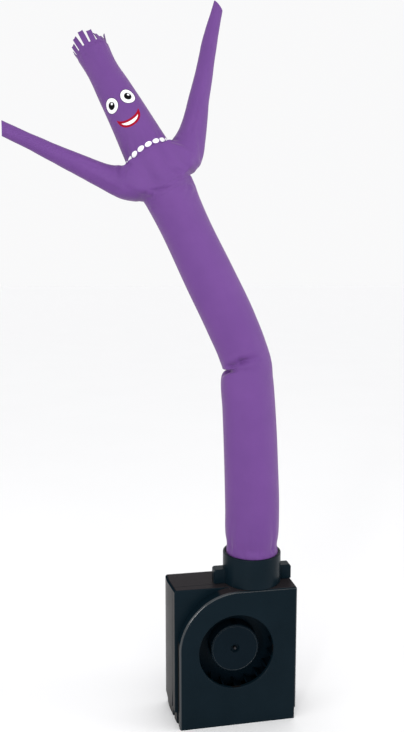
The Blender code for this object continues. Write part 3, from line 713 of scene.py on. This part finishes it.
def pass_through_net(obj):
    """Moves the net's points so that the smoothed surface passes through where they were."""
    wanted = vectors_of(obj.data.vertices, "co")
    for _ in range(3):
        graph = bpy.context.evaluated_depsgraph_get()
        smooth = obj.evaluated_get(graph).to_mesh()
        off = wanted - vectors_of(smooth.vertices, "co")[: len(wanted)]
        obj.evaluated_get(graph).to_mesh_clear()
        obj.data.vertices.foreach_set("co", (vectors_of(obj.data.vertices, "co") + off).ravel())
        obj.data.update()


def chest_rings():
    shares = [0.0, *np.linspace(SEAM_BAND, 1 - SEAM_BAND, CHEST_ROWS + 1), 1.0]
    low, high = np.array(CHEST_BOTTOM[:4]), np.array(CHEST_TOP[:4])
    turn = 2 * pi * np.arange(SEGMENTS) / SEGMENTS
    rings = []
    for share in shares:
        row = low + share * (high - low)
        radius = row[3] + CHEST_SWELL * sin(pi * share)
        left, front = frame_of(unit((1 - share) * CHEST_WAY + share * NECK_WAY))
        rings.append(row[:3] + radius * (np.cos(turn)[:, None] * left + np.sin(turn)[:, None] * front))
    height = float(np.linalg.norm(high[:3] - low[:3]))
    return rings, [share * height for share in shares]


def hole_loop(middle):
    half = HOLE_COLUMNS // 2
    low, high = 1, CHEST_ROWS + 1
    columns = [(middle + k) % SEGMENTS for k in range(-half, half + 1)]
    loop = [(low, c) for c in columns]
    loop += [(row, columns[-1]) for row in range(low + 1, high)]
    loop += [(high, c) for c in reversed(columns)]
    loop += [(row, columns[0]) for row in range(high - 1, low, -1)]
    return [row * SEGMENTS + column for row, column in loop]


def arm_rings(root, sections, slant):
    rows = smooth_sections(sections)
    ways = directions(rows)
    root = np.array(root)
    middle = root.mean(axis=0)
    ways[0] = unit(unit(rows[0, :3] - middle) + ways[0])
    left, front = frame_of(ways[0])
    away = root - middle
    turns = np.unwrap(np.arctan2(away @ front, away @ left))
    step = copysign(2 * pi / len(root), turns[-1] - turns[0])
    even = step * np.arange(len(root))
    even += (turns - even).mean()
    rings = []
    for k, (row, way) in enumerate(zip(rows, ways, strict=True)):
        left, front = frame_of(way)
        angle = turns + min(1.0, (k + 1) / 4) * (even - turns)
        offset = row[3] * (np.cos(angle)[:, None] * left + row[4] * np.sin(angle)[:, None] * front)
        if k == len(rows) - 1:
            offset = offset + (tan(slant) * (offset @ left))[:, None] * way
        rings.append(row[:3] + offset)
    middle_ring = (root + rings[0]) / 2 + 0.1 * (rings[0] - middle)
    return [middle_ring, *rings], lengths(rows)


def chest_net():
    """A coarse net of the chest, with a hole on each side that an arm grows from."""
    chest, heights = chest_rings()
    points = [p for ring in chest for p in ring]
    holes = {0: (LEFT_ARM_SECTIONS, LEFT_CUFF_SLANT), SEGMENTS // 2: (RIGHT_ARM_SECTIONS, RIGHT_CUFF_SLANT)}
    half = HOLE_COLUMNS // 2
    step = 2 * pi * CHEST_MEAN_R / SEGMENTS
    faces, uv = [], []
    open_columns = [(middle - half + k) % SEGMENTS for middle in holes for k in range(HOLE_COLUMNS)]
    for row in range(len(chest) - 1):
        for column in range(SEGMENTS):
            if 0 < row < len(chest) - 2 and column in open_columns:
                continue
            right = (column + 1) % SEGMENTS
            low, high = row * SEGMENTS, (row + 1) * SEGMENTS
            faces.append((low + column, low + right, high + right, high + column))
            uv += box_corners(column * step, heights[row], (column + 1) * step, heights[row + 1])
    for middle, (sections, slant) in holes.items():
        loop = hole_loop(middle)
        rings, at = arm_rings([points[i] for i in loop], sections, slant)
        count, first = len(loop), len(points)
        faces += [(loop[i], loop[(i + 1) % count], first + (i + 1) % count, first + i) for i in range(count)]
        faces += tube_faces(len(rings), count, first)
        uv += grid_uv([100.0, 104.0, *(108.0 + at)], count, ARM_MEAN_R)
        points += [p for ring in rings for p in ring]
    return points, faces, uv


def make_chest_and_arms(finish):
    points, faces, uv = chest_net()
    cloth = mesh_object("chest_cloth", points, faces, finish, 180, cloth=uv)
    crease = cloth.data.attributes.new("crease_edge", "FLOAT", "EDGE")
    for edge, sharpness in zip(cloth.data.edges, crease.data, strict=True):
        a, b = sorted(edge.vertices)
        if SEGMENTS <= a and b < 2 * SEGMENTS:
            sharpness.value = 1.0
    finer = cloth.modifiers.new("finer", "SUBSURF")
    finer.levels = finer.render_levels = 3
    finer.boundary_smooth = "PRESERVE_CORNERS"
    pass_through_net(cloth)
    apply_modifiers(cloth)
    seams = ((CHEST_BOTTOM, CHEST_WAY), (CHEST_TOP, NECK_WAY))
    press_creases(cloth, CHEST_CREASES, lump=0.12, seed=11, seams=seams)
    press_creases(cloth, WAIST_CREASES, lump=0.0, seed=3)
    return thicken(cloth)


class HairNet:
    """The hair's points, faces and maps while it is built, from the head's upper end."""

    def __init__(self):
        self.base = np.array(HEAD_SECTIONS[-1][:3])
        self.way = unit(self.base - np.array(HEAD_SECTIONS[-2][:3]))
        self.left, self.front = frame_of(self.way)
        self.points, self.faces, self.cloth, self.strip = [], [], [], []

    def spoke(self, turn):
        return cos(turn) * self.left + sin(turn) * self.front

    def add_quad(self, corners, box, strip_box=(0, 0, 0, 0)):
        self.faces.append(corners)
        self.cloth += box_corners(*box)
        self.strip += box_corners(*strip_box)


def add_hair_band(net):
    """The uncut band. Its columns are wide under the strips and narrow under the gaps between them."""
    radius, columns = HEAD_SECTIONS[-1].radius, STRIPS * 2 * STRIP_COLUMNS
    places = [*np.linspace(0, STRIP_SHARE, STRIP_COLUMNS, endpoint=False)]
    places += [*np.linspace(STRIP_SHARE, 1, STRIP_COLUMNS, endpoint=False)]
    for height in np.linspace(0.0, HAIR_BAND_H, 3):
        for strip in range(STRIPS):
            for place in places:
                out = net.spoke(HAIR_TURN + (strip - STRIP_SHARE / 2 + place) * STRIP_PITCH)
                net.points.append(net.base + height * net.way + radius * out)
    step, rise = 2 * pi * radius / columns, HAIR_BAND_H / 2
    for number, corners in enumerate(tube_faces(3, columns)):
        k, i = divmod(number, columns)
        net.add_quad(corners, (i * step, k * rise, (i + 1) * step, k * rise + rise))


def add_hair_strip(net, strip, shape):
    first = 2 * STRIP_COLUMNS * (2 * STRIPS + strip)
    edge = list(range(first, first + STRIP_COLUMNS + 1))
    row = np.array([net.points[n] for n in edge])
    middle_turn = HAIR_TURN + strip * STRIP_PITCH
    out, side = net.spoke(middle_turn), net.spoke(middle_turn + pi / 2)
    rise = shape.length / STRIP_STEPS
    for step in range(1, STRIP_STEPS + 1):
        share = step / STRIP_STEPS
        lean = radians(shape.lean + shape.curl * (share - 0.5 / STRIP_STEPS))
        row = row + rise * (cos(lean) * net.way + sin(lean) * out)
        middle = row.mean(axis=0)
        cup = 0.35 * share * (np.linspace(-1, 1, STRIP_COLUMNS + 1) ** 2 - 0.4)[:, None] * out
        twist = radians(shape.twist * share)
        wide = (row - middle) @ side
        bent = wide[:, None] * (cos(twist) * side + sin(twist) * out) + cup
        numbers = list(range(len(net.points), len(net.points) + STRIP_COLUMNS + 1))
        net.points += list(middle + (1 - 0.1 * share**2) * bent)
        low, high = HAIR_BAND_H + rise * (step - 1), HAIR_BAND_H + rise * step
        for i in range(STRIP_COLUMNS):
            left = 2 * i / STRIP_COLUMNS - 1
            strip_box = (left, share - 1 / STRIP_STEPS, left + 2 / STRIP_COLUMNS, share)
            corners = (edge[i], edge[i + 1], numbers[i + 1], numbers[i])
            net.add_quad(corners, (i * STRIP_COLUMN_W, low, (i + 1) * STRIP_COLUMN_W, high), strip_box)
        edge = numbers


def make_hair(finish):
    """A narrow ring above the head, cut into strips that lean, curl and twist, each in its own way."""
    net = HairNet()
    add_hair_band(net)
    for strip, shape in enumerate(HAIR_STRIPS):
        add_hair_strip(net, strip, shape)
    hair = mesh_object("hair_cloth", net.points, net.faces, finish, 180, cloth=net.cloth, strip=net.strip)
    return thicken(hair)


# Materials


class Field:
    """A number at each point of a surface, as the output of a shader node."""

    def __init__(self, tree, socket):
        self.tree = tree
        self.socket = socket

    def made(self, operation, *others):
        node = self.tree.nodes.new("ShaderNodeMath")
        node.operation = operation
        for slot, value in zip(node.inputs, (self, *others), strict=False):
            if isinstance(value, Field):
                value.into(slot)
            else:
                slot.default_value = value
        return Field(self.tree, node.outputs[0])

    __add__ = partialmethod(made, "ADD")
    __sub__ = partialmethod(made, "SUBTRACT")
    __mul__ = partialmethod(made, "MULTIPLY")
    __truediv__ = partialmethod(made, "DIVIDE")
    __abs__ = partialmethod(made, "ABSOLUTE")
    sine = partialmethod(made, "SINE")
    highest = partialmethod(made, "MAXIMUM")

    def into(self, slot):
        self.tree.links.new(self.socket, slot)

    def clipped(self):
        """Held between 0 and 1."""
        return self.made("MINIMUM", 1.0).made("MAXIMUM", 0.0)

    def reversed(self):
        """1 where the field is 0, and 0 where it is 1."""
        return self * -1.0 + 1.0

    def below(self, limit, soft):
        """1 below the limit and 0 above it, with a soft step."""
        node = self.tree.nodes.new("ShaderNodeMapRange")
        node.interpolation_type = "SMOOTHSTEP"
        self.into(node.inputs["Value"])
        node.inputs["From Min"].default_value = limit - soft / 2
        node.inputs["From Max"].default_value = limit + soft / 2
        node.inputs["To Min"].default_value = 1.0
        node.inputs["To Max"].default_value = 0.0
        return Field(self.tree, node.outputs["Result"])


def distance(one, other):
    return (one * one + other * other).made("SQRT")


def new_material(name, colour, roughness, metallic=0.0):
    made = bpy.data.materials.new(name)
    made.use_nodes = True
    shader = made.node_tree.nodes["Principled BSDF"]
    shader.inputs["Base Color"].default_value = (*colour, 1.0)
    shader.inputs["Roughness"].default_value = roughness
    shader.inputs["Metallic"].default_value = metallic
    return made, made.node_tree, shader


def noise_field(tree, where, scale, detail, rough=0.5):
    node = tree.nodes.new("ShaderNodeTexNoise")
    node.inputs["Scale"].default_value = scale
    node.inputs["Detail"].default_value = detail
    node.inputs["Roughness"].default_value = rough
    tree.links.new(where, node.inputs["Vector"])
    return Field(tree, node.outputs["Fac"])


def blend_colour(share, one, other):
    """Mixes two colours, each a tuple or a socket, by a field."""
    tree = share.tree
    node = tree.nodes.new("ShaderNodeMix")
    node.data_type = "RGBA"
    share.into(node.inputs["Factor"])
    for name, value in (("A", one), ("B", other)):
        slot = next(s for s in node.inputs if s.name == name and s.type == "RGBA")
        if isinstance(value, tuple):
            slot.default_value = (*value, 1.0)
        else:
            tree.links.new(value, slot)
    return next(s for s in node.outputs if s.type == "RGBA")


def add_bump(shader, height, deep, strength):
    node = height.tree.nodes.new("ShaderNodeBump")
    node.inputs["Distance"].default_value = deep * MM
    node.inputs["Strength"].default_value = strength
    height.into(node.inputs["Height"])
    height.tree.links.new(node.outputs["Normal"], shader.inputs["Normal"])


def object_place(tree):
    return tree.nodes.new("ShaderNodeTexCoord").outputs["Object"]


def parts_of(tree, socket):
    parts = tree.nodes.new("ShaderNodeSeparateXYZ")
    tree.links.new(socket, parts.inputs[0])
    return [Field(tree, part) for part in parts.outputs]


def map_place(tree, title):
    """The two places of a map, and the socket of both. The cloth map is in millimetres, round and along."""
    node = tree.nodes.new("ShaderNodeUVMap")
    node.uv_map = title
    u, v, _ = parts_of(tree, node.outputs["UV"])
    return u, v, node.outputs["UV"]


PURPLE, PURPLE_LIGHT, PURPLE_DARK = (0.098, 0.0355, 0.172), (0.131, 0.049, 0.215), (0.045, 0.015, 0.085)
WHITE_INK, BLACK_INK, RED_INK = (0.74, 0.74, 0.76), (0.003, 0.003, 0.004), (0.27, 0.004, 0.015)
THREAD, STITCH_PITCH, STITCH_HALF_W = 0.32, 2.4, 0.22
SHEEN, SHEEN_ROUGHNESS, SHEEN_TINT = 0.15, 0.35, (1.0, 0.8, 0.82)
CLOTH_GLOSS, PRINT_GLOSS = 0.15, 0.03


def fabric(name, seams=(), prints=(), darker_edges=False):
    """Thin woven nylon: threads both ways, a slight sheen, stitches on each seam, and what is printed on it.
    Hair strips can be made darker along their cut edges and towards their tips."""
    made, tree, shader = new_material(name, PURPLE, 0.55)
    shader.inputs["Specular IOR Level"].default_value = CLOTH_GLOSS
    shader.inputs["Sheen Weight"].default_value = SHEEN
    shader.inputs["Sheen Roughness"].default_value = SHEEN_ROUGHNESS
    shader.inputs["Sheen Tint"].default_value = (*SHEEN_TINT, 1.0)
    u, v, place = map_place(tree, "cloth")
    warp, weft = (u * (pi / THREAD)).sine(), (v * (pi / THREAD)).sine()
    over = (warp * weft).below(0.0, 0.3)
    weave = abs(warp) * over + abs(weft) * over.reversed()
    cloudy = noise_field(tree, place, 0.045, 4.0)
    slubs = noise_field(tree, place, 1.3, 2.0)
    tone = (cloudy - 0.5) * 0.9 + (weave - 0.5) * 0.22 + (slubs - 0.5) * 0.25 + 0.45
    colour = blend_colour(tone.clipped(), PURPLE, PURPLE_LIGHT)
    height = weave + slubs * 0.6
    for seam in seams:
        dashes = (u * (2 * pi / STITCH_PITCH)).sine().below(0.55, 0.3)
        stitch = abs(v - seam).below(STITCH_HALF_W, 0.15) * dashes
        colour = blend_colour(stitch * 0.12, colour, PURPLE_DARK)
        height = height + stitch * 1.5
    if darker_edges:
        # Darker along the strips' long edges and towards their tips.
        across, along, _ = map_place(tree, "strip")
        cut = abs(across).below(0.8, 0.5).reversed().highest(along.below(0.93, 0.12).reversed())
        colour = blend_colour(cut * 0.25 + along * 0.1, colour, PURPLE_DARK)
    if prints:
        colour = add_prints(shader, colour, [(shape(u, v), ink) for shape, ink in prints])
    tree.links.new(colour, shader.inputs["Base Color"])
    ((slubs - 0.5) * 0.2 + 0.52).into(shader.inputs["Roughness"])
    add_bump(shader, height, 0.05, 0.7)
    return made


def add_prints(shader, colour, prints):
    """Lays each ink over the colour. Ink has less gloss than the bare fabric, and no sheen."""
    for inked, ink in prints:
        colour = blend_colour(inked, colour, ink)
    printed = prints[0][0]
    for inked, _ in prints[1:]:
        printed = printed.highest(inked)
    bare = printed.reversed()
    gloss = bare * (CLOTH_GLOSS - PRINT_GLOSS) + PRINT_GLOSS
    (bare * SHEEN).into(shader.inputs["Sheen Weight"])
    gloss.into(shader.inputs["Specular IOR Level"])
    return colour


HEAD_RADIUS, HEAD_LENGTH = 12.2, 74.6
FACE_U = radians(77) * HEAD_RADIUS
EYE_V, EYE_OFF, EYE_R, EYE_RIM, PUPIL_R, GLINT_R, GLINT_OFF = 35.4, 5.9, 4.4, 0.3, 2.3, 0.7, 0.8
MOUTH_V, MOUTH_R, LIP_R, LIP_RISE, LIP_W = 26.0, 7.4, 9.6, 6.6, 1.3
BEAD_PITCH, BEAD_V, BEAD_R = 2 * pi * HEAD_RADIUS / 18, 2.3, 1.8
INK_EDGE = 0.25


def disc(at_u, at_v, radius):
    def shape(u, v):
        return distance(u - at_u, v - at_v).below(radius, INK_EDGE)

    return shape


def smile(grow=0.0):
    """A crescent: inside one circle and outside a larger, higher one. It is wider all round by grow."""
    mouth = disc(FACE_U, MOUTH_V, MOUTH_R + grow)
    above = disc(FACE_U, MOUTH_V + LIP_RISE, LIP_R - grow)

    def shape(u, v):
        return mouth(u, v) * above(u, v).reversed()

    return shape


def necklace(u, v):
    """A row of round white beads."""
    across = ((u / BEAD_PITCH).made("FRACT") - 0.5) * BEAD_PITCH
    return distance(across, v - BEAD_V).below(BEAD_R, INK_EDGE)


def face_prints():
    prints = [(necklace, WHITE_INK)]
    for eye_u in (FACE_U - EYE_OFF, FACE_U + EYE_OFF):
        prints.append((disc(eye_u, EYE_V, EYE_R + EYE_RIM), BLACK_INK))
        prints.append((disc(eye_u, EYE_V, EYE_R), WHITE_INK))
        prints.append((disc(eye_u, EYE_V, PUPIL_R), BLACK_INK))
        prints.append((disc(eye_u + GLINT_OFF, EYE_V + GLINT_OFF, GLINT_R), WHITE_INK))
    return [*prints, (smile(), RED_INK), (smile(-LIP_W), WHITE_INK)]


BLACK = (0.0025, 0.0072, 0.011)
# Painted reflection: the housing's sides are tinted warmer and its top lighter than its front, as pale
# surroundings reflect in them.
SIDE_PAINTED_REFLECTION, TOP_PAINTED_REFLECTION = (0.006, 0.0052, 0.0052), (0.018, 0.0155, 0.0175)
# Painted shade: the fan wheel is a darker black than the housing, and darker still on its sides, for the
# shade of the inlet's recess.
WHEEL_BLACK_PAINTED_SHADE, WHEEL_SIDE_PAINTED_SHADE = (0.0018, 0.0055, 0.009), (0.001, 0.003, 0.005)
# Painted shade: the shaft's steel is coloured far darker than bare steel, for the shade of the hub's recess
# it sits in.
STEEL_PAINTED_SHADE, CAN_GREY = (0.05, 0.05, 0.055), (0.34, 0.34, 0.36)


def plain_plastic(name, colour, roughness, gloss):
    """Black moulded plastic: a fine grain, faint flow marks and a few rubbed places."""
    made, tree, shader = new_material(name, colour, roughness)
    place = object_place(tree)
    fine, wide = noise_field(tree, place, 2600.0, 2.0), noise_field(tree, place, 45.0, 4.0)
    rubbed = noise_field(tree, place, 420.0, 6.0, 0.7).reversed().below(0.34, 0.12) * 0.5
    lighter = tuple(c * 1.5 + 0.001 for c in colour)
    shade = blend_colour(((wide - 0.5) * 0.8 + rubbed + 0.2).clipped(), colour, lighter)
    rough = (wide - 0.5) * 0.16 + (fine - 0.5) * 0.08 + rubbed * 0.1 + roughness
    add_bump(shader, fine + wide * 0.5, 0.03, 0.5)
    shader.inputs["Specular IOR Level"].default_value = gloss
    tree.links.new(shade, shader.inputs["Base Color"])
    rough.into(shader.inputs["Roughness"])
    return made, shade, rough


def plastic(name, colour, roughness, gloss, side_gloss, edge_gloss, side_painted_light):
    """Plastic whose faces to the sides and on the housing's top get tones of painted light: on the housing a
    painted reflection, warmer on the sides and lighter on the top; on the wheel, darker sides of painted
    shade.
    The rounded edges in front have more gloss, but not the inlet's lip or the hub's recess."""
    made, shade, rough = plain_plastic(name, colour, roughness, gloss)
    tree = made.node_tree
    shader = tree.nodes["Principled BSDF"]
    nx, ny, nz = parts_of(tree, tree.nodes.new("ShaderNodeTexCoord").outputs["Normal"])
    x, y, z = parts_of(tree, object_place(tree))
    forward = abs(ny)
    sides = forward.below(0.2, 0.1)
    sides_with_painted_light = sides * abs(nx * nz).below(0.12, 0.08)
    # The housing's top, which takes a lighter painted reflection.
    upper = nz.below(0.9, 0.1).reversed() * z.below((HOUSING_H - 2) * MM, MM).reversed()
    from_axis = distance(x, z - FAN_Z * MM)
    off_lip = abs(from_axis - (INLET_R + 0.3) * MM).below(1.2 * MM, 0.3 * MM).reversed()
    off_recess = from_axis.below(5 * MM, MM).reversed()
    edges = forward.below(0.93, 0.1) * sides.reversed() * y.below((PLATE_Y - 1) * MM, 0.2 * MM)
    edges = edges * off_lip * off_recess * nz.below(0.5, 0.3).highest(x.below(0.0, 18 * MM))
    # Painted light on the faces' colour: a tint on the sides, and a lighter painted reflection on the
    # housing's top.
    shade = blend_colour(sides_with_painted_light, shade, side_painted_light)
    shade = blend_colour(upper, shade, TOP_PAINTED_REFLECTION)
    shine = sides_with_painted_light * (upper * -0.5 + 1.0) * side_gloss + sides.reversed() * gloss + edges * edge_gloss
    tree.links.new(shade, shader.inputs["Base Color"])
    (rough - edges * 0.06).into(shader.inputs["Roughness"])
    shine.into(shader.inputs["Specular IOR Level"])
    return made


def metal(name, colour, roughness):
    made, tree, shader = new_material(name, colour, roughness, 1.0)
    place = object_place(tree)
    fine, wide = noise_field(tree, place, 1800.0, 3.0), noise_field(tree, place, 90.0, 3.0)
    ((wide - 0.5) * 0.25 + (fine - 0.5) * 0.1 + roughness).into(shader.inputs["Roughness"])
    shade = blend_colour(wide, tuple(c * 0.8 for c in colour), colour)
    tree.links.new(shade, shader.inputs["Base Color"])
    add_bump(shader, fine, 0.02, 0.4)
    return made


# Stage


def make_camera():
    level = cos(EYE_TILT)
    forward = Vector((sin(EYE_TURN) * level, cos(EYE_TURN) * level, -sin(EYE_TILT)))
    right = Vector((cos(EYE_TURN), -sin(EYE_TURN), 0.0))
    placed = Matrix((right, right.cross(forward), -forward)).transposed().to_4x4()
    placed.translation = Vector(EYE) * MM
    data = bpy.data.cameras.new("camera")
    data.sensor_width = FILM
    data.lens = LENS
    data.clip_start = 0.01
    camera = new_object("camera", data)
    camera.matrix_world = placed
    bpy.context.scene.camera = camera


def area_light(name, place, aim, size, power):
    data = bpy.data.lights.new(name, "AREA")
    data.shape = "RECTANGLE"
    data.size, data.size_y = size
    data.energy = power
    data.spread = radians(60)
    lamp = new_object(name, data)
    lamp.location = place
    lamp.rotation_euler = (Vector(aim) - Vector(place)).to_track_quat("-Z", "Y").to_euler()


FLOOR_GREY, FLOOR_LIGHT, STUDIO_WHITE = (0.92, 0.92, 0.925), (0.94, 0.94, 0.945), (0.95, 0.95, 0.955)
FLOOR_HALF = 20000.0


def make_stage():
    bpy.context.scene.view_settings.view_transform = "Standard"
    points = [(*corner, 0) for corner in box_corners(-FLOOR_HALF, -FLOOR_HALF, FLOOR_HALF, FLOOR_HALF)]
    floor_finish, tree, shader = new_material("floor_finish", FLOOR_GREY, 0.6)
    mottled = noise_field(tree, object_place(tree), 6.0, 3.0)
    shade = blend_colour(mottled, FLOOR_GREY, FLOOR_LIGHT)
    tree.links.new(shade, shader.inputs["Base Color"])
    floor = mesh_object("floor", points, [(0, 1, 2, 3)], floor_finish)
    world = bpy.data.worlds.new("studio")
    world.use_nodes = True
    back = world.node_tree.nodes["Background"]
    back.inputs["Color"].default_value = (*STUDIO_WHITE, 1.0)
    back.inputs["Strength"].default_value = 1.0
    bpy.context.scene.world = world
    sun = bpy.data.lights.new("sky", "SUN")
    sun.energy = 0.22
    sun.angle = radians(60)
    new_object("sky", sun).rotation_euler = (radians(25), 0.0, 0.0)
    # Each has its place, what it points at and its size in metres, and its power in watts
    area_light("key", (0.05, -0.95, 0.55), (-0.05, 0, 0.42), (0.5, 0.4), 0.4)
    area_light("strip", (-0.47, -0.82, 0.27), (0, 0, 0.2), (0.1, 0.4), 0.35)
    area_light("left", (-0.8, -0.3, 0.5), (-0.04, 0, 0.4), (0.4, 0.5), 0.25)
    area_light("side", (0.8, -0.3, 0.45), (-0.02, 0, 0.36), (0.3, 0.6), 0.55)


# Assembly

make_camera()
make_stage()

# The housing's black, with a painted reflection on its sides and top.
black = plastic(
    "black_plastic_painted_reflection_look", BLACK, 0.3, gloss=0.045, side_gloss=0.035, edge_gloss=0.6, side_painted_light=SIDE_PAINTED_REFLECTION
)
nozzle_black = plain_plastic("nozzle_plastic_look", BLACK, 0.3, gloss=0.06)[0]
# The wheel's darker blacks are painted shade of the inlet's recess.
wheel_black_painted_shade = plastic(
    "wheel_plastic_painted_shade_look", WHEEL_BLACK_PAINTED_SHADE, 0.38, gloss=0.04, side_gloss=0, edge_gloss=0.9, side_painted_light=WHEEL_SIDE_PAINTED_SHADE
)
# The shaft's darkened steel is painted shade of the hub's recess.
steel = metal("steel_painted_shade_look", STEEL_PAINTED_SHADE, 0.45)
can = metal("motor_can_look", CAN_GREY, 0.38)

# Seams are at places along each piece
body_length = float(lengths(smooth_sections(BODY_SECTIONS, BODY_FINER))[-1])
body_fabric = fabric("body_fabric", seams=(body_length - 2.0,))
chest_fabric = fabric("chest_fabric", seams=(2.0, 19.0))
head_fabric = fabric("head_fabric", seams=(HEAD_LENGTH - 1.0,), prints=face_prints())
hair_fabric = fabric("hair_fabric", seams=(0.8,), darker_edges=True)

for piece, node, body, slot in (
    (make_housing_front(black), "housing_front", FIXED, "black_plastic"),
    (make_housing_back(black), "housing_back", FIXED, "black_plastic"),
    (make_nozzle(nozzle_black), "nozzle", FIXED, "black_plastic"),
    (make_fan_wheel(wheel_black_painted_shade), "fan_wheel", TURNING, "wheel_plastic"),
    (make_pin(steel), "motor_shaft", TURNING, "steel"),
    (make_body(body_fabric), "body_tube", FIXED, "purple_fabric"),
    (make_chest_and_arms(chest_fabric), "chest_and_arms", FIXED, "purple_fabric"),
    (make_head(head_fabric), "head_tube", FIXED, "purple_fabric"),
    (make_hair(hair_fabric), "hair", FIXED, "purple_fabric"),
):
    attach(piece, body)
    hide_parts(node)

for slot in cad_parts["motor"].material_slots:
    slot.material = can

bpy.context.view_layer.update()
